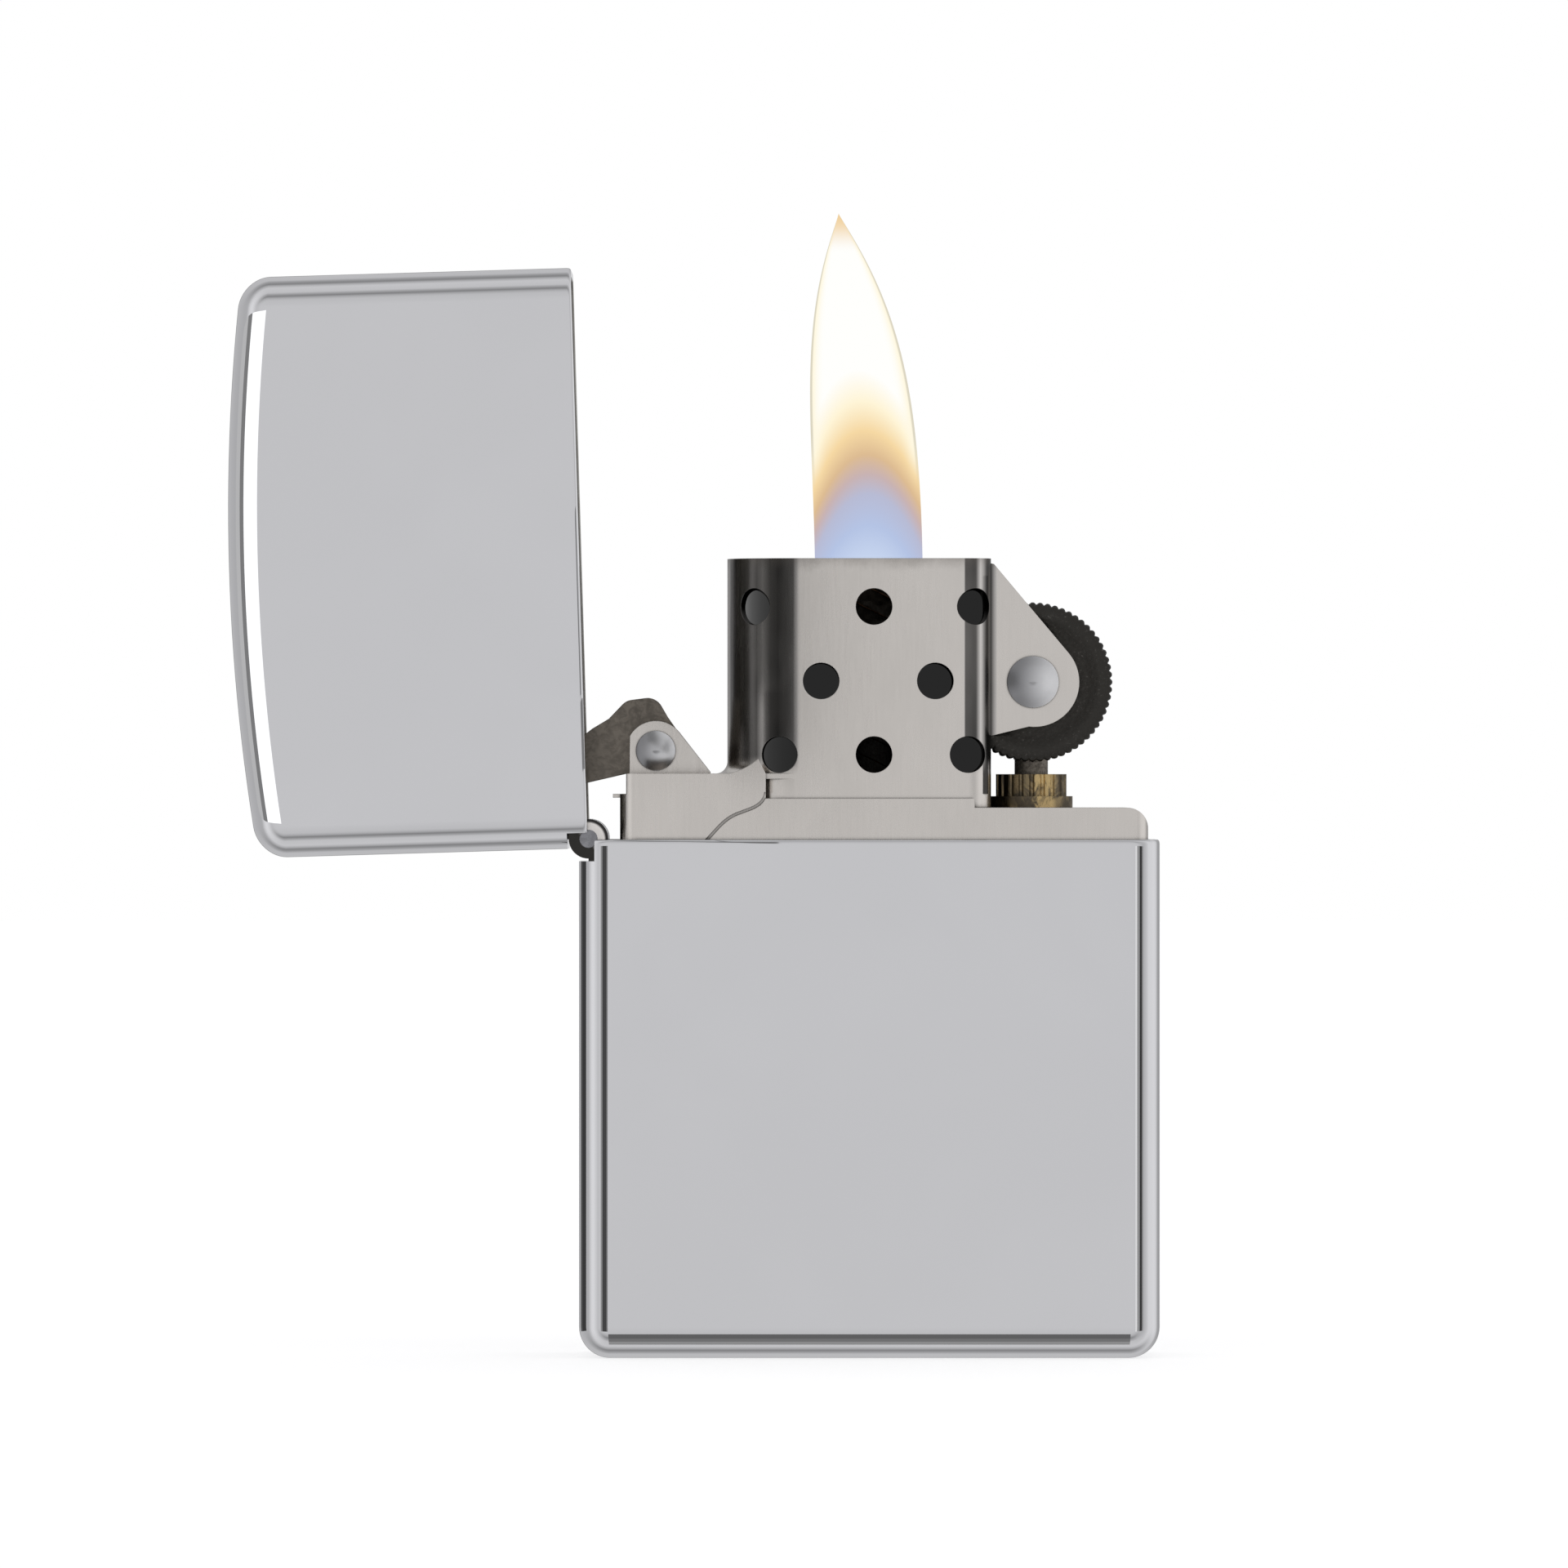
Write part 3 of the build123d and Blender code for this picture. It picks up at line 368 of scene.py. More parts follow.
def rivet_finish(name, dark_x, light_x):
    """Tumbled rivet head with a painted reflection: grey on the side towards the hinge and bright on the
    other.
    """
    f = Finish(name, (0.6, 0.61, 0.63), 1.0, 0.3)
    rub = f.noise((1.2, 1.2, 1.2), 2.0, 0.5)
    painted_shine = f.spread(f.axis("X"), dark_x, light_x)
    # painted reflection: grey towards the hinge, near white on the other side
    tone = f.mix(painted_shine, (0.34, 0.34, 0.35), (0.97, 0.97, 0.98))
    f.feed(f.mix(f.spread(rub, 0.3, 0.7, 0.0, 0.12), tone, (0.5, 0.51, 0.53)), "Base Color")
    f.feed(f.bump(rub, 0.0006, 0.2, f.worn_edges(0.08)), "Normal")
    return f.material


# painted light on a knuckle's end by millimetres from the hinge's axis: a dark middle, a painted
# highlight ring and a dark rim
KNUCKLE_LIGHT_TONES = (
    (0.0, 0.1), (0.5, 0.12), (0.62, 0.85), (1.02, 0.95), (1.14, 0.05), (1.35, 0.04), (1.6, 0.36),
)


def hinge_finish():
    """Bright nickel with painted light on its knuckles: a painted highlight ring with a dark rim, and
    painted shade over their lower left half.
    """
    f = Finish("hinge_nickel", (0.36, 0.35, 0.34), 1.0, 0.14)
    across = f.maths("SUBTRACT", f.axis("X"), HINGE.x)
    above = f.maths("SUBTRACT", f.axis("Z"), HINGE.z)
    squares = f.maths("ADD", f.maths("MULTIPLY", across, across), f.maths("MULTIPLY", above, above))
    away = f.maths("SQRT", squares)
    blotches = f.noise((2.2, 2.2, 2.2), 3.0, 0.6)
    ring = f.tones(away, KNUCKLE_LIGHT_TONES)
    corner = f.maths("ADD", f.maths("ADD", across, above), f.maths("MULTIPLY", blotches, 0.5))
    bright_side = f.spread(corner, -0.1, 0.5)
    on_knuckle = f.spread(away, 1.6, 1.4)
    # painted shade: the knuckles' lower left half is near black, their upper right shows the painted
    # rings
    shaded_side = f.mix(bright_side, (0.045, 0.043, 0.04), ring)
    f.feed(f.mix(on_knuckle, ring, shaded_side), "Base Color")
    f.feed(f.spread(blotches, 0.3, 0.7, 0.1, 0.24), "Roughness")
    return f.material


# where a painted highlight runs up the flint tube's collar, across the lighter's width
HIGHLIGHT_X = 11.5


def brass_finish():
    """Brass, dark brown from patina and from painted reflection, with bright gold patches only in a
    painted highlight band.
    """
    f = Finish("brass_aged", (0.42, 0.29, 0.12), 1.0, 0.34)
    patina = f.noise((1.1, 1.1, 0.8), 4.0, 0.65, 0.7)
    away = f.maths("ABSOLUTE", f.maths("SUBTRACT", f.axis("X"), HIGHLIGHT_X))
    # painted highlight: gold shows only in an upright band about the collar's middle
    highlight_band = f.spread(away, 0.9, 0.4, 0.25, 1.0)
    fine = f.noise((8.0, 8.0, 8.0), 3.0, 0.6)
    gold = f.maths("MULTIPLY", f.spread(patina, 0.4, 0.6), highlight_band)
    f.feed(f.mix(gold, (0.13, 0.108, 0.078), (0.68, 0.5, 0.24)), "Base Color")
    f.feed(f.spread(patina, 0.35, 0.7, 0.5, 0.24), "Roughness")
    f.feed(f.bump(fine, 0.004, 0.5, f.worn_edges(0.06)), "Normal")
    return f.material


def wheel_finish():
    """Blackened hard steel, speckled with bright cuts where the teeth have rubbed."""
    f = Finish("wheel_black_steel", (0.07, 0.066, 0.06), 0.85, 0.42)
    speck = f.noise((5.5, 5.5, 5.5), 4.0, 0.7)
    grit = f.cells((3.5, 3.5, 3.5))
    f.feed(f.mix(f.spread(speck, 0.58, 0.78), (0.05, 0.047, 0.042), (0.15, 0.142, 0.13)), "Base Color")
    f.feed(f.spread(speck, 0.3, 0.7, 0.5, 0.32), "Roughness")
    f.feed(f.bump(grit, 0.03, 0.6, f.bump(speck, 0.02, 0.5)), "Normal")
    return f.material


def flint_finish():
    """Dull brown-grey pressed flint with a grainy surface."""
    f = Finish("flint_rod", (0.12, 0.1, 0.088), 0.55, 0.5)
    grain = f.noise((4.5, 4.5, 4.5), 5.0, 0.7)
    f.feed(f.mix(f.spread(grain, 0.35, 0.7), (0.14, 0.122, 0.1), (0.36, 0.32, 0.27)), "Base Color")
    f.feed(f.bump(grain, 0.03, 0.6), "Normal")
    return f.material


# heights over which the wick's cotton turns brown and then black
SINGED_Z = (49.5, 52.0)
CHARRED_Z = (51.5, 53.5)


def wick_finish():
    """Off-white braided cotton that turns brown and then black towards its lit end."""
    f = Finish("wick_braid", (0.7, 0.66, 0.58), 0.0, 0.95)
    z = f.axis("Z")
    fibre = f.noise((7.0, 7.0, 2.5), 4.0, 0.7)
    burn = f.maths("ADD", z, f.maths("MULTIPLY", f.noise((0.9, 0.9, 0.9), 3.0), 4.0))
    cotton = f.mix(f.spread(fibre, 0.3, 0.7), (0.55, 0.51, 0.43), (0.8, 0.77, 0.7))
    singed = f.mix(f.spread(burn, *SINGED_Z), cotton, (0.2, 0.16, 0.12))
    f.feed(f.mix(f.spread(burn, *CHARRED_Z), singed, (0.018, 0.016, 0.015)), "Base Color")
    f.shader.inputs["Sheen Weight"].default_value = 0.3
    f.feed(f.bump(fibre, 0.06, 0.8), "Normal")
    return f.material


def copper_finish():
    """Fine copper wire, browned by the heat in patches."""
    f = Finish("wick_wire", (0.5, 0.25, 0.14), 1.0, 0.4)
    heat = f.noise((1.5, 1.5, 1.5), 3.0, 0.6)
    f.feed(f.mix(f.spread(heat, 0.35, 0.65), (0.14, 0.07, 0.04), (0.5, 0.26, 0.15)), "Base Color")
    f.feed(f.spread(heat, 0.3, 0.7, 0.5, 0.28), "Roughness")
    return f.material


def fibre_finish(name, dark, light, scale, sheen):
    """Loose or felted fibre: fine tangled strands, soft sheen and no gloss."""
    f = Finish(name, light, 0.0, 1.0)
    strands = f.noise(scale, 6.0, 0.75, 1.2)
    tufts = f.noise([s * 0.22 for s in scale], 3.0, 0.6, 0.6)
    both = f.maths("ADD", f.maths("MULTIPLY", strands, 0.6), f.maths("MULTIPLY", tufts, 0.4))
    f.feed(f.mix(f.spread(both, 0.36, 0.64), dark, light), "Base Color")
    f.shader.inputs["Sheen Weight"].default_value = sheen
    f.shader.inputs["Sheen Roughness"].default_value = 0.6
    f.feed(f.bump(strands, 0.12, 0.8), "Normal")
    return f.material


chrome = chrome_finish("chrome_polished", (0.8, 0.8, 0.815), 0.03)
chrome_inside = inside_finish()
stainless = stainless_finish()
chimney_steel = chimney_finish()
hinge_steel = hinge_finish()
cam_steel = steel_finish("cam_dark_steel", (0.225, 0.2, 0.17), 0.42, 0.3, 0.006)
spring_steel = steel_finish("spring_blued", (0.32, 0.32, 0.34), 0.26, 0.2, 0.002)
wheel_rivet_steel = rivet_finish("rivet_wheel", *WHEEL_RIVET_X)
cam_rivet_steel = rivet_finish("rivet_cam", *CAM_RIVET_X)
brass = brass_finish()
wheel_steel = wheel_finish()
flint_rod = flint_finish()
wick_cotton = wick_finish()
copper = copper_finish()
packing_fibre = fibre_finish("packing_rayon", (0.6, 0.58, 0.53), (0.86, 0.85, 0.81), (1.6, 1.6, 1.6), 0.5)
felt_fibre = fibre_finish("felt_grey", (0.34, 0.33, 0.31), (0.62, 0.6, 0.57), (3.2, 3.2, 3.2), 0.4)

CAD_FINISHES = {
    "case_hinge_leaf": hinge_steel,
    "lid_hinge_leaf": hinge_steel,
    "hinge_pin": spring_steel,
    "fuel_tank": stainless,
    "chimney": chimney_steel,
    "wheel_rivet": wheel_rivet_steel,
    "cam_rivet": cam_rivet_steel,
    "spring_rivet": cam_rivet_steel,
    "cam_bracket": stainless,
    "cam": cam_steel,
    "cam_spring": spring_steel,
    "flint_tube": brass,
    "flint": flint_rod,
    "spring_tip": brass,
    "flint_screw": brass,
    "flint_spring": spring_steel,
}
for node, finish in CAD_FINISHES.items():
    mesh = nodes[node].data
    mesh.materials.clear()
    mesh.materials.append(finish)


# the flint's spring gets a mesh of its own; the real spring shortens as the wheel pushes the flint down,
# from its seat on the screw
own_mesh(nodes["flint_spring"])


# ---------------- mesh helpers
SHARP = math.radians(38)
MERGE_MM = 1e-4


def new_object(name, bm, materials):
    """Makes an object from a bmesh drawn in millimetres, smooth except at its sharp edges."""
    bmesh.ops.remove_doubles(bm, verts=bm.verts, dist=MERGE_MM)
    bmesh.ops.recalc_face_normals(bm, faces=bm.faces)
    for edge in bm.edges:
        edge.smooth = len(edge.link_faces) == 2 and edge.calc_face_angle(0.0) < SHARP
    for face in bm.faces:
        face.smooth = True
    bm.transform(Matrix.Scale(MM, 4))
    mesh = bpy.data.meshes.new(name)
    bm.to_mesh(mesh)
    bm.free()
    for material in materials:
        mesh.materials.append(material)
    piece = bpy.data.objects.new(name, mesh)
    bpy.context.scene.collection.objects.link(piece)
    return piece


def flat_faces(piece):
    """Keeps a piece's large faces truly flat next to its rounded edges."""
    normals = piece.modifiers.new("flat_faces", "WEIGHTED_NORMAL")
    normals.weight = 100
    normals.keep_sharp = True
    return piece


def quads_between(bm, first, second, material=0, closed=True):
    """Faces between two rows of vertices."""
    count = len(first)
    for index in range(count if closed else count - 1):
        after = (index + 1) % count
        face = bm.faces.new((first[index], first[after], second[after], second[index]))
        face.material_index = material


# ---------------- drawn shell, case and lid
CORNER_STEPS = 15
FLAT_STEPS = 24
ROUND_STEPS = 12
RIM_BREAK = 0.06
RIM_ROLL = [(0.0, 0.12), (0.06, 0.05), (0.14, 0.015), (0.3, 0.0)]
PANEL_R = 0.9
PANEL_LIP = 0.06
NOTCH_TOLERANCE = 0.05


def plan_ring(half_width, half_depth, wide_r, deep_r):
    """A rounded rectangle from its left side round the front to its right side, and back.

    Its corners reach wide_r along the width and deep_r along the depth.
    """
    half = []
    for step in range(CORNER_STEPS + 1):
        turn = math.pi + math.pi / 2 * step / CORNER_STEPS
        half.append(
            (
                -half_width + wide_r + wide_r * math.cos(turn),
                -half_depth + deep_r + deep_r * math.sin(turn),
            )
        )
    left = list(half)
    flat = half_width - wide_r
    half += [(-flat + 2 * flat * step / FLAT_STEPS, -half_depth) for step in range(1, FLAT_STEPS)]
    half += [(-x, y) for x, y in reversed(left)]
    return half + [(x, -y) for x, y in reversed(half)]


def drawn_shell(name, height, sag, panel, place, materials):
    """A deep-drawn box, open at its rim, with a closed end as round as its upright edges.

    sag(x) lowers the closed end for a dome, panel is the depth of a shallow panel pressed into
    it, and place turns (x, y, height above the rim) into the row frame.
    """
    levels = (NOTCH_HEIGHT, height * 0.25, height * 0.5, height * 0.75)
    straight = [(level, 0.0) for level in levels]
    turns = [math.pi / 2 * step / ROUND_STEPS for step in range(ROUND_STEPS + 1)]
    bm = bmesh.new()

    def row(level, inset_x, inset_y, wide_r, deep_r):
        """One ring of vertices round the box, at a height above the rim."""
        made = []
        for x, y in plan_ring(HALF_WIDTH - inset_x, HALF_DEPTH - inset_y, wide_r, deep_r):
            made.append(bm.verts.new(place(x, y, level - sag(x) * level / height)))
        return made

    def skin(rim, depth, wide_r, deep_r, tall_r):
        """Rows from the rim to the closed end, depth inside the outer skin."""
        rows = []
        for level, inset in rim + straight:
            rows.append(row(level, depth + inset, depth + inset, wide_r - inset, deep_r - inset))
        for turn in turns:
            rows.append(
                row(
                    height - depth - tall_r * (1 - math.sin(turn)),
                    depth + wide_r * (1 - math.cos(turn)),
                    depth + deep_r * (1 - math.cos(turn)),
                    wide_r * math.cos(turn),
                    deep_r * math.cos(turn),
                )
            )
        return rows

    inner_r = EDGE_R - WALL
    outer = skin(RIM_ROLL, 0, FACE_R, EDGE_R, FACE_R)
    inner = skin([(RIM_BREAK, 0.0)], WALL, inner_r, inner_r, inner_r)
    rim_in = row(0, WALL - RIM_BREAK, WALL - RIM_BREAK, inner_r + RIM_BREAK, inner_r + RIM_BREAK)
    notch_out, notch_in = len(RIM_ROLL), 1
    xs = [x for x, y in plan_ring(HALF_WIDTH, HALF_DEPTH, FACE_R, EDGE_R)]
    count = len(xs)

    def cut(column):
        """Whether a column of faces lies in the hinge's notch."""
        return max(xs[column % count], xs[(column + 1) % count]) < NOTCH_X + NOTCH_TOLERANCE

    def face(*corners, material=0):
        bm.faces.new(corners).material_index = material

    for column in range(count):
        after = (column + 1) % count
        if cut(column):
            top_out, top_in = outer[notch_out], inner[notch_in]
            face(top_out[column], top_out[after], top_in[after], top_in[column])
        else:
            face(outer[0][column], outer[0][after], rim_in[after], rim_in[column])
            face(rim_in[column], rim_in[after], inner[0][after], inner[0][column], material=1)
        for rows, notch, material in ((outer, notch_out, 0), (inner, notch_in, 1)):
            for level in range(notch if cut(column) else 0, len(rows) - 1):
                low, high = rows[level], rows[level + 1]
                face(low[column], low[after], high[after], high[column], material=material)
        if cut(column) != cut(column - 1):
            step = [outer[level][column] for level in range(notch_out, -1, -1)]
            face(*step, rim_in[column], inner[0][column], inner[notch_in][column])

    def close(last, material):
        """Strips from front to back over the closed end."""
        for column in range(len(last) // 2 - 1):
            face(last[column], last[column + 1], last[-2 - column], last[-1 - column], material=material)

    end = outer[-1]
    if panel:
        slope = ((0.0, 0.0), (0.12, PANEL_LIP), (0.3, panel - PANEL_LIP), (0.42, panel))
        for extra, sunk in slope:
            inset = PANEL_INSET + extra
            ring = plan_ring(HALF_WIDTH - inset, HALF_DEPTH - inset, PANEL_R, PANEL_R)
            step = [bm.verts.new(place(x, y, height - sunk)) for x, y in ring]
            quads_between(bm, end, step)
            end = step
    close(end, 0)
    close(inner[-1], 1)
    return flat_faces(new_object(name, bm, materials))


def case_place(x, y, height):
    """The case's rim is at its top, so its rows run downwards."""
    return Vector((x, y, RIM_Z - height))


LID_RIGHTWARDS = Vector((math.cos(OPEN_ANGLE), 0, math.sin(OPEN_ANGLE)))
LID_UPWARDS = Vector((-math.sin(OPEN_ANGLE), 0, math.cos(OPEN_ANGLE)))


def lid_place(x, y, height):
    """From the closed lid's own axes, measured from the middle of its rim, to the open lid."""
    return HINGE + LID_RIGHTWARDS * (x - HINGE.x) + LID_UPWARDS * (height + PARTING) + Vector((0, y, 0))


def dome(x):
    """How far the lid's domed end lies below its crown."""
    return DOME_R - math.sqrt(DOME_R**2 - x**2)


def flat(x):
    """The case's closed end is flat."""
    return 0.0


case_piece = drawn_shell("case_shell", RIM_Z, flat, PANEL_DEPTH, case_place, [chrome, chrome_inside])
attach(case_piece, "case")
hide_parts("bottom_case")

lid_piece = drawn_shell("lid_shell", LID_HEIGHT, dome, 0, lid_place, [chrome, chrome_inside])
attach(lid_piece, "lid")
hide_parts("lid")


# ---------------- spark wheel
WHEEL_R = (wheel_high.z - wheel_low.z) / 2
WHEEL_HALF = wheel_high.y
BAND_HALF = 1.5
BAND_R = WHEEL_R - 0.25
BORE_R = 0.83
GRIP_TEETH = 64
BAND_TEETH = 84
TOOTH_STEPS = 8
GRIP_DEPTH = 0.15
BAND_DEPTH = 0.2
BAND_LEAN = 0.9
BAND_STEPS = 10
DISH_DEPTH = 0.18


def tooth(share):
    """Height of a worn V tooth across one pitch, 0 at the root and 1 on its blunt top."""
    slope = abs(2 * (share % 1.0) - 1)
    return min(1.0, slope * 1.55)


def lathe_rows(bm, rows, teeth, depth, lean):
    """Rings about the axle: rows of (y, radius, how much of the tooth depth is cut there)."""
    made = []
    count = teeth * TOOTH_STEPS
    for y, radius, cut in rows:
        ring = []
        for index in range(count):
            turn = 2 * math.pi * index / count
            share = index / TOOTH_STEPS + lean * y
            r = radius - depth * cut * (1 - tooth(share))
            ring.append(bm.verts.new((AXLE.x + r * math.cos(turn), y, AXLE.z + r * math.sin(turn))))
        made.append(ring)
    for first, second in zip(made, made[1:] + made[:1]):
        quads_between(bm, first, second)


def wheel_mesh():
    """Two coarse grip rings with dished sides and a finely cut striking band between them."""
    bm = bmesh.new()
    for side in (-1, 1):
        outer_y = side * WHEEL_HALF
        inner_y = side * (BAND_HALF + 0.08)
        rows = [
            (outer_y, BORE_R, 0),
            (outer_y, 1.9, 0),
            (outer_y - side * DISH_DEPTH, 2.15, 0),
            (outer_y - side * DISH_DEPTH, 3.9, 0),
            (outer_y, 4.2, 0),
            (outer_y, WHEEL_R - 0.42, 0.1),
            (outer_y - side * 0.12, WHEEL_R - 0.1, 0.8),
            (outer_y - side * 0.3, WHEEL_R, 1),
            (inner_y + side * 0.15, WHEEL_R, 1),
            (inner_y, WHEEL_R - 0.12, 0.8),
            (inner_y, BORE_R, 0),
        ]
        lathe_rows(bm, rows, GRIP_TEETH, GRIP_DEPTH, 0)
    band = [(BAND_HALF, BORE_R, 0)]
    for step in range(BAND_STEPS + 1):
        y = BAND_HALF - 2 * BAND_HALF * step / BAND_STEPS
        band.append((y, BAND_R, 1))
    band.append((-BAND_HALF, BORE_R, 0))
    lathe_rows(bm, band, BAND_TEETH, BAND_DEPTH, BAND_LEAN)
    return bm


wheel_piece = new_object("spark_wheel", wheel_mesh(), [wheel_steel])
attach(wheel_piece, "wheel")
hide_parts("flint_wheel")


# ---------------- wick
WICK_R = wick_high.y
WICK_LEFT = wick_low.x + WICK_R
# the rest of the wick's folds, the same as in the CAD model
WICK_X = 0.3
WICK_TURN_R = 3.9
WICK_RIGHT = 5.4
WICK_RUNS = (30.6, 22.6, 14.6)


def rounded_path(corners, radius, spacing):
    """Points along a polyline in the XZ plane whose corners are arcs of one radius."""
    points = [Vector(corners[0])]
    for before, corner, after in zip(corners, corners[1:], corners[2:]):
        corner = Vector(corner)
        towards = (Vector(before) - corner).normalized()
        onwards = (Vector(after) - corner).normalized()
        half = (math.pi - towards.angle(onwards)) / 2
        start = corner + towards * radius * math.tan(half)
        centre = corner + (towards + onwards).normalized() * radius / math.cos(half)
        steps = max(2, round(2 * half * radius / spacing))
        first = start - centre
        axis = first.cross(corner - start)
        for step in range(steps + 1):
            points.append(centre + Matrix.Rotation(2 * half * step / steps, 3, axis) @ first)
    points.append(Vector(corners[-1]))
    dense = [points[0]]
    for point in points[1:]:
        gap = point - dense[-1]
        steps = max(1, round(gap.length / spacing))
        base = dense[-1].copy()
        dense += [base + gap * s / steps for s in range(1, steps + 1)]
    return dense


def tube_rows(bm, path, columns, radius_at):
    """A tube along a path in the XZ plane; radius_at(distance, turn) gives its skin."""
    rows = []
    travelled = 0.0
    for index, point in enumerate(path):
        ahead = path[min(index + 1, len(path) - 1)] - path[max(index - 1, 0)]
        travelled += (point - path[index - 1]).length if index else 0.0
        across = ahead.normalized().cross(Vector((0, 1, 0)))
        row = []
        for column in range(columns):
            turn = 2 * math.pi * column / columns
            r = radius_at(travelled, turn)
            sideways = Vector((0, r * math.sin(turn), 0))
            row.append(bm.verts.new(point + across * r * math.cos(turn) + sideways))
        rows.append(row)
    for first, second in zip(rows, rows[1:]):
        quads_between(bm, first, second)
    for row in (rows[0], rows[-1]):
        middle = bm.verts.new(sum((v.co for v in row), Vector()) / columns)
        for index in range(columns):
            bm.faces.new((row[index], row[(index + 1) % columns], middle))


BRAID_STRANDS = 5
BRAID_PITCH = 4.2
BRAID_COLUMNS = 50
BRAID_SPACING = 0.3
FRAY_LENGTH = 2.5


def braid_radius(along, turn):
    """Skin of a plaited cord: two families of strands wound both ways, with a frayed top."""
    angle = along / BRAID_PITCH * 2 * math.pi
    one = math.cos(BRAID_STRANDS * (turn + angle))
    other = math.cos(BRAID_STRANDS * (turn - angle))
    plait = max(one, other)
    fray = 0.18 * noise.noise(Vector((turn * 2.2, along * 2.0, 0))) * max(0.0, 1 - along / FRAY_LENGTH)
    return WICK_R * (0.9 + 0.1 * plait * abs(plait) - 0.03) + min(0.0, fray)


wick_corners = [(WICK_X, 0, wick_high.z), (WICK_X, 0, WICK_RUNS[0])]
for level, run_z in enumerate(WICK_RUNS):
    end_x = WICK_RIGHT if level % 2 else WICK_LEFT
    wick_corners.append((end_x, 0, run_z))
    if level + 1 < len(WICK_RUNS):
        wick_corners.append((end_x, 0, WICK_RUNS[level + 1]))
wick_corners.append((WICK_LEFT, 0, wick_low.z))

wick_mesh = bmesh.new()
wick_path = rounded_path(wick_corners, WICK_TURN_R, BRAID_SPACING)
tube_rows(wick_mesh, wick_path, BRAID_COLUMNS, braid_radius)
wick_piece = new_object("wick_braided", wick_mesh, [wick_cotton])
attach(wick_piece, "insert")
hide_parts("wick")


WIRE_R = 0.05
WIRE_SIDES = 8
WIRE_STEPS = 220
WIRE_LOW_Z = 31.5
WIRE_AWAY = WICK_R * 0.955
WIRE_PHASES = (0.4, 2.5, 4.6)


def wire_strand(name, phase):
    """A fine copper wire that winds round the wick's upper end, through the plait."""
    bm = bmesh.new()
    rows = []
    length = wick_high.z - WIRE_LOW_Z
    for step in range(WIRE_STEPS + 1):
        along = length * step / WIRE_STEPS
        turn = phase + along / BRAID_PITCH * 2 * math.pi
        outward = Vector((math.cos(turn), math.sin(turn), 0))
        x = WICK_X + WIRE_AWAY * math.cos(turn)
        centre = Vector((x, WIRE_AWAY * math.sin(turn), wick_high.z - 0.1 - along))
        ring = []
        for corner in range(WIRE_SIDES):
            bend = 2 * math.pi * corner / WIRE_SIDES
            skin = outward * math.cos(bend) + Vector((0, 0, math.sin(bend)))
            ring.append(bm.verts.new(centre + WIRE_R * skin))
        rows.append(ring)
    for first, second in zip(rows, rows[1:]):
        quads_between(bm, first, second)
    bm.faces.new(rows[0])
    bm.faces.new(rows[-1])
    piece = new_object(name, bm, [copper])
    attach(piece, "insert")


for number, phase in enumerate(WIRE_PHASES, start=1):
    wire_strand(f"wick_wire_{number}", phase)


# ---------------- packing wads and felt
FINE_SCALE = 4.1
FINE_SHARE = 0.35
FINE_SHIFT = Vector((7, 3, 1))


def soft_block(name, low, high, cells, round_mm, lumps, material, hole=None):
    """A soft pad that fills a box: rounded, lumpy and never past the box it was given.

    cells is the size of its faces, lumps the waves per millimetre and their depth, and hole an
    upright round hole's x, y and radius.
    """
    bm = bmesh.new()
    size = high - low
    middle = (low + high) / 2
    counts = [max(2, round(s / cells)) for s in size]
    seen = {}

    def vert(i, j, k):
        key = (i, j, k)
        if key not in seen:
            p = Vector([low[a] + size[a] * n / counts[a] for a, n in enumerate(key)])
            core = Vector([max(low[a] + round_mm, min(high[a] - round_mm, p[a])) for a in range(3)])
            out = p - core
            if out.length > 1e-9:
                p = core + out.normalized() * min(out.length, round_mm)
            press = 0.5 + 0.5 * noise.noise(p * lumps[0])
            fine = 0.5 + 0.5 * noise.noise(p * lumps[0] * FINE_SCALE + FINE_SHIFT)
            inwards = (middle - p).normalized()
            p += inwards * (lumps[1] * press + FINE_SHARE * lumps[1] * fine)
            seen[key] = bm.verts.new(p)
        return seen[key]

    for a in range(3):
        b, c = (a + 1) % 3, (a + 2) % 3
        for side in (0, counts[a]):
            for u in range(counts[b]):
                for v in range(counts[c]):
                    corners = []
                    for du, dv in ((0, 0), (1, 0), (1, 1), (0, 1)):
                        key = [0, 0, 0]
                        key[a], key[b], key[c] = side, u + du, v + dv
                        corners.append(vert(*key))
                    bm.faces.new(corners)
    if hole:
        doomed = [v for v in bm.verts if (v.co.xy - Vector(hole[:2])).length < hole[2]]
        bmesh.ops.delete(bm, geom=doomed, context="VERTS")
        for vertex in [v for v in bm.verts if v.is_boundary]:
            reach = vertex.co.xy - Vector(hole[:2])
            vertex.co.xy = Vector(hole[:2]) + reach.normalized() * hole[2]
        bmesh.ops.bridge_loops(bm, edges=[e for e in bm.edges if e.is_boundary])
    return new_object(name, bm, [material])


WAD_CELL = 0.45
WAD_ROUND = 1.6
WAD_LUMPS = (0.55, 0.28)
FELT_CELL = 0.35
FELT_ROUND = 0.7
FELT_LUMPS = (1.1, 0.1)
FELT_HOLE_GAP = 0.5


for number in range(1, 6):
    node = f"packing_{number}"
    pad_low, pad_high = box_mm(node)
    wad = soft_block(f"wad_{number}", pad_low, pad_high, WAD_CELL, WAD_ROUND, WAD_LUMPS, packing_fibre)
    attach(wad, "insert")
    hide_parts(node)

screw_x = (screw_low.x + screw_high.x) / 2
felt = soft_block(
    "felt_cover",
    felt_low,
    felt_high,
    FELT_CELL,
    FELT_ROUND,
    FELT_LUMPS,
    felt_fibre,
    hole=(screw_x, 0, (screw_high.x - screw_low.x) / 2 + FELT_HOLE_GAP),
)
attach(felt, "insert")
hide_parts("felt_pad")
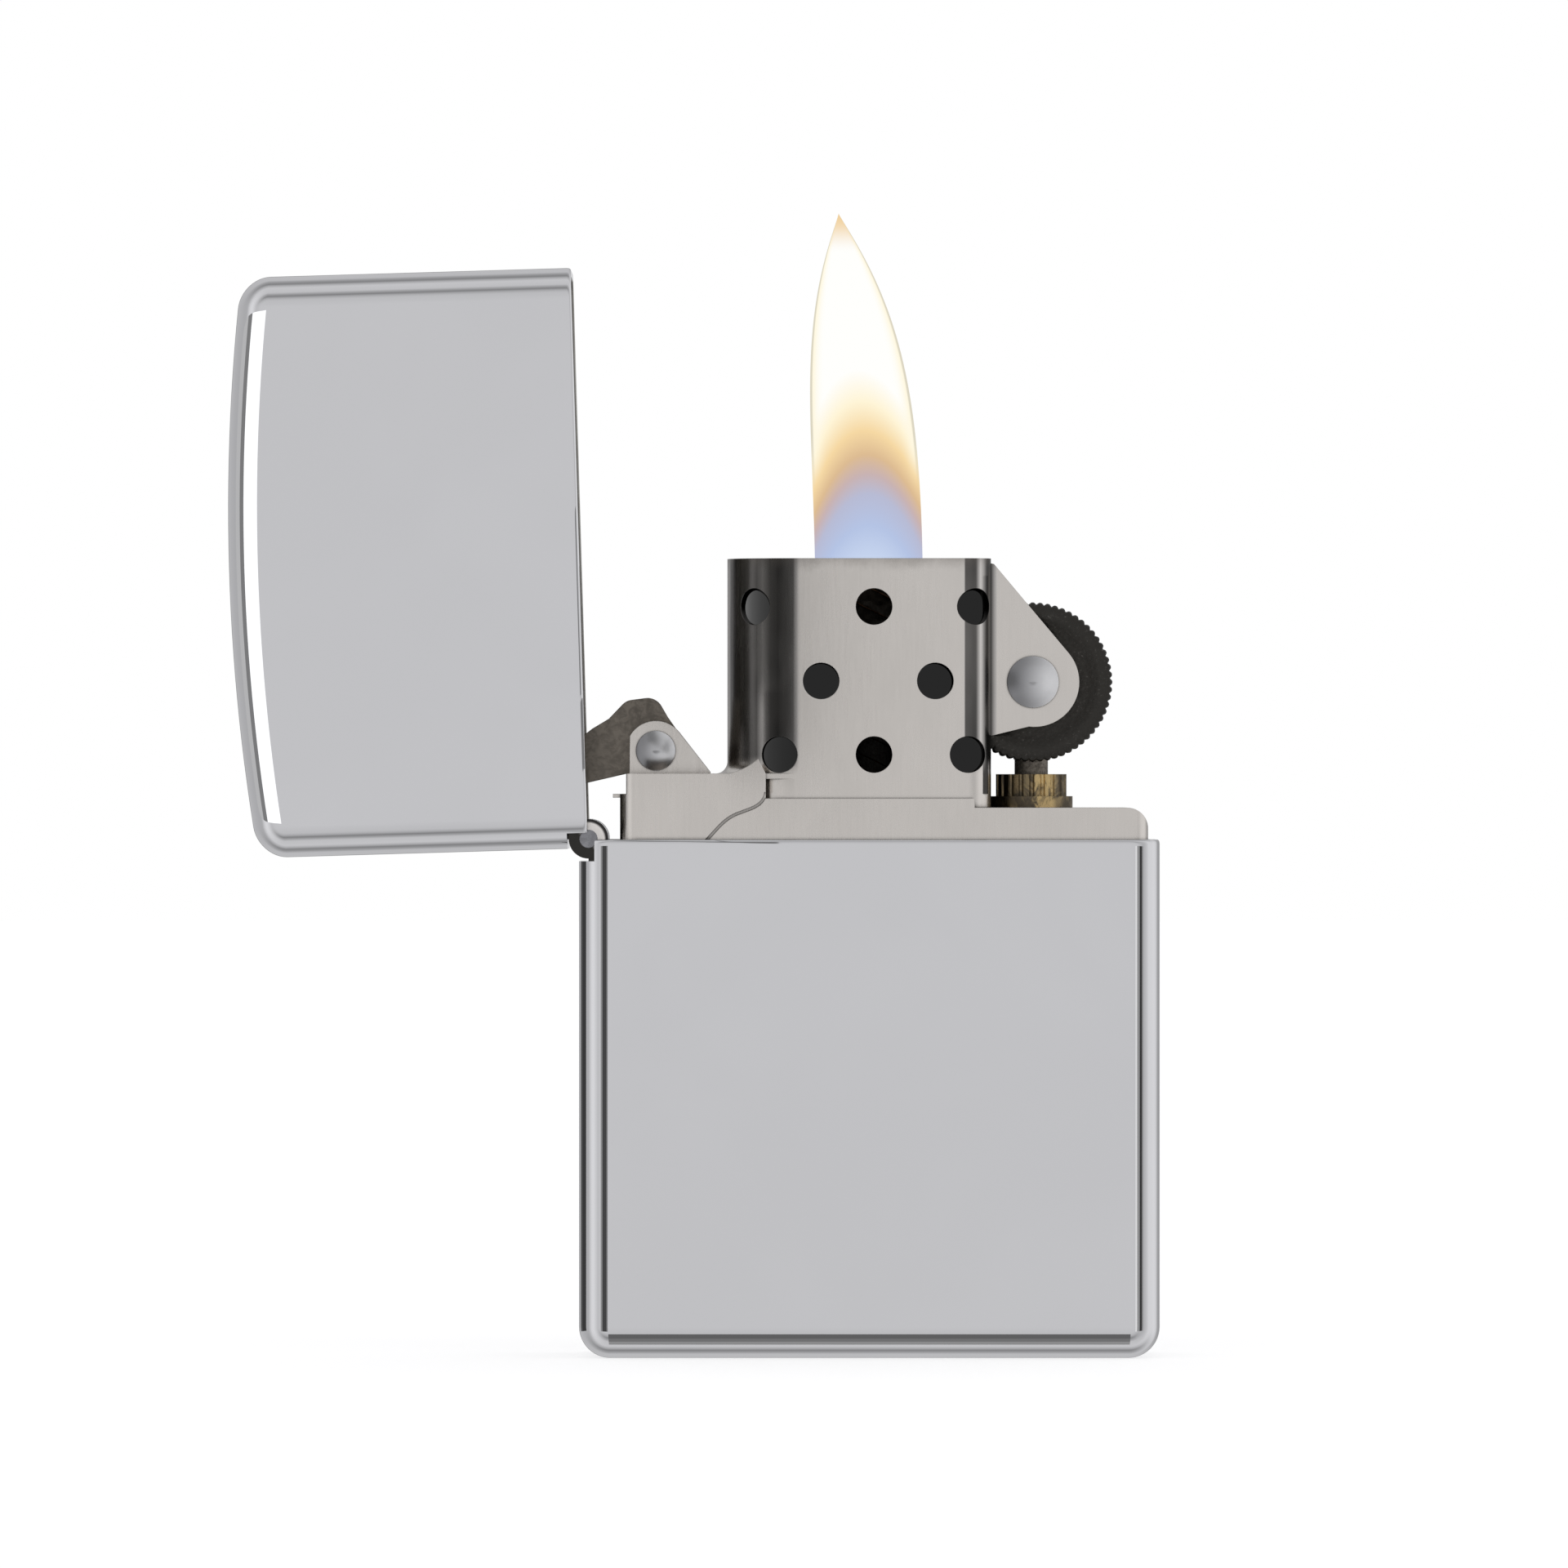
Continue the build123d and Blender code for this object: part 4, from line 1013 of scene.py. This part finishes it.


# ---------------- flame
# The flame isn't a part of the lighter. It stands over the wick and rides with the insert.
FLAME_BOTTOM = chimney_high.z - 1.6
FLAME_TOP = chimney_high.z + 22.8
FLAME_HEIGHT = FLAME_TOP - FLAME_BOTTOM
ROOT_SHARE = (chimney_high.z - 0.3 - FLAME_BOTTOM) / FLAME_HEIGHT
FLAME_HALF_WIDTH = 3.55
FLAME_LEAN = -2.0
FLAME_FLATTEN = 0.78
ARCH_Z = chimney_high.z + 7.0
ARCH_REACH = 8.0
ARCH_BOW = 0.3
# heights over which the flame leans, its warm limb and outline come in, and its tip turns orange
LEAN_Z = (55.0, 78.0)
LIMB_Z = (56.0, 60.0)
OUTLINE_Z = (56.5, 61.0)
TIP_Z = (72.6, 75.2)
FLAME_STOPS = (
    (0.0, (0.62, 0.72, 0.9)),
    (0.2, (0.46, 0.55, 0.78)),
    (0.33, (0.48, 0.5, 0.66)),
    (0.41, (0.58, 0.45, 0.45)),
    (0.49, (0.72, 0.5, 0.29)),
    (0.59, (0.92, 0.69, 0.37)),
    (0.71, (1.0, 0.91, 0.68)),
    (0.84, (1.0, 1.0, 0.98)),
)
FLAME_LEVELS = 48
FLAME_COLUMNS = 40


def flame_centre(share):
    """How far the flame's middle has leant, by share of its height."""
    return FLAME_LEAN * share**1.8


def flame_half_width(share):
    """Half the flame's width: it swells from the wick to the mouth and closes in a point."""
    root = min(1.0, share / ROOT_SHARE)
    return FLAME_HALF_WIDTH * (1 - share**4) ** 1.1 * (0.45 + 0.55 * math.sin(math.pi / 2 * root))


def flame_finish():
    """Blue at the root, an orange arch over it, then a white body with a pale yellow edge."""
    f = Finish("flame", (1, 1, 1))
    x = f.axis("X")
    z = f.axis("Z")
    off_centre = f.maths("ADD", x, f.spread(z, *LEAN_Z, 0.0, 1.9))
    bow = f.maths("MULTIPLY", f.maths("MULTIPLY", off_centre, off_centre), ARCH_BOW)
    level = f.maths("ADD", z, bow)
    above = f.maths("SUBTRACT", level, ARCH_Z - ARCH_REACH)
    ramp = f.add("ShaderNodeValToRGB", Fac=f.maths("DIVIDE", above, 2 * ARCH_REACH))
    set_stops(ramp, FLAME_STOPS)
    limb = f.add("ShaderNodeLayerWeight", Blend=0.5).outputs["Facing"]
    warm = f.mix(f.spread(limb, 0.2, 0.62), ramp.outputs["Color"], (1.0, 0.94, 0.76))
    upper = f.mix(f.spread(z, *LIMB_Z), ramp.outputs["Color"], warm)
    tip = f.mix(f.spread(z, *TIP_Z), upper, (0.88, 0.64, 0.34))
    edge = f.mix(f.spread(limb, 0.58, 0.7, 0.0, 0.85), tip, (0.66, 0.62, 0.5))
    edged = f.mix(f.spread(z, *OUTLINE_Z), ramp.outputs["Color"], edge)
    glow = f.add("ShaderNodeEmission", Color=edged, Strength=1.0)
    f.tree.links.new(glow.outputs[0], f.tree.nodes["Material Output"].inputs["Surface"])
    return f.material


def flame_mesh():
    """Rings from the root, inside the chimney, to the tip, closer together higher up."""
    bm = bmesh.new()
    rows = []
    for level in range(FLAME_LEVELS):
        share = min(0.9995, math.sin(math.pi / 2 * level / (FLAME_LEVELS - 1)))
        half = max(0.02, flame_half_width(share))
        ring = []
        for column in range(FLAME_COLUMNS):
            turn = 2 * math.pi * column / FLAME_COLUMNS
            x = flame_centre(share) + half * math.cos(turn)
            y = FLAME_FLATTEN * half * math.sin(turn)
            ring.append(bm.verts.new((x, y, FLAME_BOTTOM + FLAME_HEIGHT * share)))
        rows.append(ring)
    for first, second in zip(rows, rows[1:]):
        quads_between(bm, first, second)
    bm.faces.new(rows[-1])
    return bm


flame = new_object("flame", flame_mesh(), [flame_finish()])
flame.visible_glossy = False
flame.visible_diffuse = False
flame.visible_shadow = False
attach(flame, "insert")
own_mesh(flame)


# ---------------- studio
def studio_world():
    """A room of light panels, banded by how far a direction lies from the front of the lighter."""
    world = bpy.data.worlds.new("studio")
    bpy.context.scene.world = world
    world.use_nodes = True
    tree = world.node_tree
    tree.nodes.clear()

    node = tree.nodes.new
    split = node("ShaderNodeSeparateXYZ")
    tree.links.new(node("ShaderNodeTexCoord").outputs["Generated"], split.inputs[0])
    frontwards = maths(tree, "MULTIPLY", split.outputs["Y"], -1.0)
    away = maths(tree, "DIVIDE", maths(tree, "ARCCOSINE", frontwards), math.pi)
    upright = maths(tree, "MULTIPLY", split.outputs["Z"], split.outputs["Z"])
    sideways = maths(tree, "MULTIPLY", split.outputs["X"], split.outputs["X"])
    whole = maths(tree, "ADD", maths(tree, "ADD", upright, sideways), 1e-6)
    share = maths(tree, "DIVIDE", upright, whole)

    def bands(stops):
        """The room's brightness along one of the three rows of bands."""
        ramp = node("ShaderNodeValToRGB")
        places = [degrees / 180 for degrees, value in stops]
        colours = [[value * tint for tint in ROOM_TINT] for degrees, value in stops]
        set_stops(ramp, list(zip(places, colours)))
        tree.links.new(away, ramp.inputs["Fac"])
        return ramp.outputs["Color"]

    rightwards = maths(tree, "GREATER_THAN", split.outputs["X"], 0.0)
    across = mix(tree, rightwards, bands(LEFT_BANDS), bands(RIGHT_BANDS))
    room = node("ShaderNodeBackground")
    tree.links.new(mix(tree, share, across, bands(UP_BANDS)), room.inputs["Color"])
    backdrop = node("ShaderNodeBackground")
    backdrop.inputs["Color"].default_value = (1, 1, 1, 1)
    pick = node("ShaderNodeMixShader")
    tree.links.new(node("ShaderNodeLightPath").outputs["Is Camera Ray"], pick.inputs["Fac"])
    tree.links.new(room.outputs[0], pick.inputs[1])
    tree.links.new(backdrop.outputs[0], pick.inputs[2])
    tree.links.new(pick.outputs[0], node("ShaderNodeOutputWorld").inputs["Surface"])


ROOM_TINT = (1.0, 1.0, 1.015)
# brightness of the room by degrees away from straight in front: left, right and up or down
LEFT_BANDS = (
    (0, 0.67), (26, 0.66), (38, 0.62), (54, 0.84), (62, 0.8), (76, 0.5), (90, 0.5), (130, 0.54),
    (150, 0.56), (157, 0.3), (170, 0.32), (176, 0.66), (180, 0.67),
)
RIGHT_BANDS = (
    (0, 0.67), (26, 0.66), (46, 0.5), (56, 0.6), (68, 0.78), (98, 0.82), (112, 0.72), (124, 0.42),
    (150, 0.34), (164, 0.5), (180, 0.67),
)
UP_BANDS = (
    (0, 0.67), (10, 0.64), (22, 0.61), (28, 0.5), (35, 0.26), (41, 0.42), (48, 0.64), (66, 0.68),
    (76, 0.48), (84, 0.27), (94, 0.36), (110, 0.6), (150, 0.6), (156, 0.3), (168, 0.34),
    (174, 0.66), (180, 0.67),
)
studio_world()

FLOOR_SIZE = 6.0
FLOOR_Z = -0.02
FLOOR_GLOW = 0.54


def floor_finish():
    """Pale seamless paper: nearly saturated by its light, with a trace of shade under the lighter."""
    f = Finish("floor_paper", (0.9, 0.9, 0.9), 0.0, 0.9)
    fleck = f.noise((0.4, 0.4, 0.4), 3.0)
    f.feed(f.mix(fleck, (0.89, 0.89, 0.89), (0.91, 0.91, 0.91)), "Base Color")
    f.shader.inputs["Emission Color"].default_value = (1, 1, 1, 1)
    f.shader.inputs["Emission Strength"].default_value = FLOOR_GLOW
    return f.material


def flat_card(name, corners, material):
    """A staged flat panel from its four corners in millimetres."""
    mesh = bpy.data.meshes.new(name)
    mesh.from_pydata([Vector(c) * MM for c in corners], [], [(0, 1, 2, 3)])
    mesh.materials.append(material)
    card = bpy.data.objects.new(name, mesh)
    bpy.context.scene.collection.objects.link(card)
    return card


reach = FLOOR_SIZE / 2 / MM
corners = ((-reach, -reach), (reach, -reach), (reach, reach), (-reach, reach))
floor = flat_card("floor", [(x, y, FLOOR_Z) for x, y in corners], floor_finish())
floor.visible_glossy = False
floor.visible_diffuse = False


def only_in_reflections(card):
    """Leaves a card visible to glossy rays alone."""
    for ray in ("camera", "diffuse", "transmission", "shadow", "volume_scatter"):
        setattr(card, f"visible_{ray}", False)


def card_finish(name, tone):
    """Evenly lit card, as bright as its tone."""
    f = Finish(name, (0, 0, 0), 0.0, 1.0)
    f.shader.inputs["Specular IOR Level"].default_value = 0.0
    f.shader.inputs["Emission Color"].default_value = (tone, tone, tone, 1)
    f.shader.inputs["Emission Strength"].default_value = 1.0
    return f.material


def upright_card(name, start, end, bottom, top, tone):
    """A studio card that stands over a line in plan."""
    (x0, y0), (x1, y1) = start, end
    corners = ((x0, y0, bottom), (x1, y1, bottom), (x1, y1, top), (x0, y0, top))
    card = flat_card(name, corners, card_finish(name, tone))
    only_in_reflections(card)
    return card


# strips of card close in front of the case and beside it: where the first starts, then where each
# ends and its tone
CARD_Y = -7.0
CARD_LOW_Z = 1.6
CARD_HIGH_Z = RIM_Z - 0.35
CARD_HALF = 17.2
LEFT_STRIPS = (-17.24, ((-17.36, 0.24), (-17.8, 0.07), (-18.0, 0.3)))
RIGHT_STRIPS = (17.68, ((17.88, 0.86), (18.2, 0.34), (18.56, 0.05), (18.78, 0.3)))
SIDE_CARD_X = -HALF_WIDTH - 0.65
SIDE_STRIPS = (-5.8, ((-5.0, 0.05), (-4.5, 0.15)))
LOW_STRIPS = (1.32, ((0.74, 0.14), (0.2, 0.2), (-0.6, 0.32)))


def in_front(start, end):
    """Upright strips side by side, along the width."""
    return (start, CARD_Y), (end, CARD_Y), CARD_LOW_Z, CARD_HIGH_Z


def beside(start, end):
    """Upright strips side by side, along the depth."""
    return (SIDE_CARD_X, start), (SIDE_CARD_X, end), CARD_LOW_Z, CARD_HIGH_Z


def across_the_foot(start, end):
    """Level strips, one under the other."""
    return (-CARD_HALF, CARD_Y), (CARD_HALF, CARD_Y), start, end


STRIP_ROWS = (
    ("left", LEFT_STRIPS, in_front),
    ("right", RIGHT_STRIPS, in_front),
    ("side", SIDE_STRIPS, beside),
    ("low", LOW_STRIPS, across_the_foot),
)
for side, (start, strips), place in STRIP_ROWS:
    for number, (end, tone) in enumerate(strips, start=1):
        upright_card(f"flag_{side}_{number}", *place(start, end), tone)
        start = end

# shades in front of the chimney's nose: they rise with the insert, and with the lid closed
# they still reflect in it as a hairline
NOSE_SHADE_START = (-6.0, -45.0)
NOSE_SHADE_TONE = 0.22
NOSE_SHADES = (("high", (-17.2, -9.0), 43.6, 56.0), ("low", (-10.2, -7.2), 38.9, 43.6))
for name, end, bottom, top in NOSE_SHADES:
    nose_shade = upright_card(f"flag_nose_{name}", NOSE_SHADE_START, end, bottom, top, NOSE_SHADE_TONE)
    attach(nose_shade, "insert")
    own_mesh(nose_shade)

# strips in front of the lid's domed end, which follow it: inner and outer distance from where its
# flat side starts to turn, and the tone
DOME_STRIPS = ((0.17, 2.0, 1.35), (2.0, 3.4, 0.24), (3.4, 14.0, 0.56))
STRIP_STEPS = 24
STRIP_HALF = HALF_WIDTH - FACE_R - 0.15


def dome_strip(name, inner, outer, tone):
    """A card along the lid's domed end that rides with the lid."""
    bm = bmesh.new()
    rows = []
    for out in (inner, outer):
        row = []
        for step in range(STRIP_STEPS + 1):
            x = STRIP_HALF * (2 * step / STRIP_STEPS - 1)
            row.append(bm.verts.new(lid_place(x, CARD_Y, LID_HEIGHT - dome(x) - FACE_R + out)))
        rows.append(row)
    quads_between(bm, *rows, closed=False)
    card = new_object(name, bm, [card_finish(name, tone)])
    only_in_reflections(card)
    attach(card, "lid")


for number, (inner, outer, tone) in enumerate(DOME_STRIPS, start=1):
    dome_strip(f"card_dome_{number}", inner, outer, tone)


# ---------------- dark volume inside the chimney, standing in for shade
SHADE_CLEARANCE = 0.5
SHADE_LOW_Z = 37.0
SHADE_HIGH_Z = 51.3
SHADE_DENSITY = 400.0
SHADE_LOW_X = -8.8
SHADE_HIGH_X = 7.8
SHADE_STEPS = 18


def shade():
    """A dark absorbing volume inside the chimney, put in as painted shade, so that its holes don't look
    through to the far side's.
    """
    material = bpy.data.materials.new("chimney_shade")
    material.use_nodes = True
    tree = material.node_tree
    tree.nodes.remove(tree.nodes["Principled BSDF"])
    shade_volume = tree.nodes.new("ShaderNodeVolumeAbsorption")
    shade_volume.inputs["Color"].default_value = (0, 0, 0, 1)
    shade_volume.inputs["Density"].default_value = SHADE_DENSITY
    tree.links.new(shade_volume.outputs[0], tree.nodes["Material Output"].inputs["Volume"])
    half_depth = chimney_high.y - SHADE_CLEARANCE
    radius = half_depth - 0.1
    bm = bmesh.new()
    rows = []
    for level in (SHADE_LOW_Z, SHADE_HIGH_Z):
        ring = []
        for step in range(SHADE_STEPS + 1):
            turn = math.pi / 2 + math.pi * step / SHADE_STEPS
            x = SHADE_LOW_X + radius + radius * math.cos(turn)
            ring.append((x, half_depth * math.sin(turn)))
        ring += [(SHADE_HIGH_X, -half_depth), (SHADE_HIGH_X, half_depth)]
        rows.append([bm.verts.new((x, y, level)) for x, y in ring])
    quads_between(bm, *rows)
    bm.faces.new(rows[0])
    bm.faces.new(rows[1])
    shade_piece = new_object("chimney_shade", bm, [material])
    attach(shade_piece, "insert")


shade()


# ---------------- camera
CAMERA_X = -5.6
CAMERA_Z = 37.65
CAMERA_AWAY = 950.0
SENSOR_WIDTH = 36.0
FRAME_WIDTH = 102.7

camera = bpy.data.objects.new("camera", bpy.data.cameras.new("camera"))
bpy.context.scene.collection.objects.link(camera)
camera.data.sensor_width = SENSOR_WIDTH
camera.data.lens = SENSOR_WIDTH * (CAMERA_AWAY - HALF_DEPTH) / FRAME_WIDTH
camera.data.clip_start = 0.05
camera.data.clip_end = 20.0
camera.location = Vector((CAMERA_X, -CAMERA_AWAY, CAMERA_Z)) * MM
camera.rotation_euler = (math.pi / 2, 0, 0)
bpy.context.scene.camera = camera
bpy.context.scene.view_settings.view_transform = "Standard"
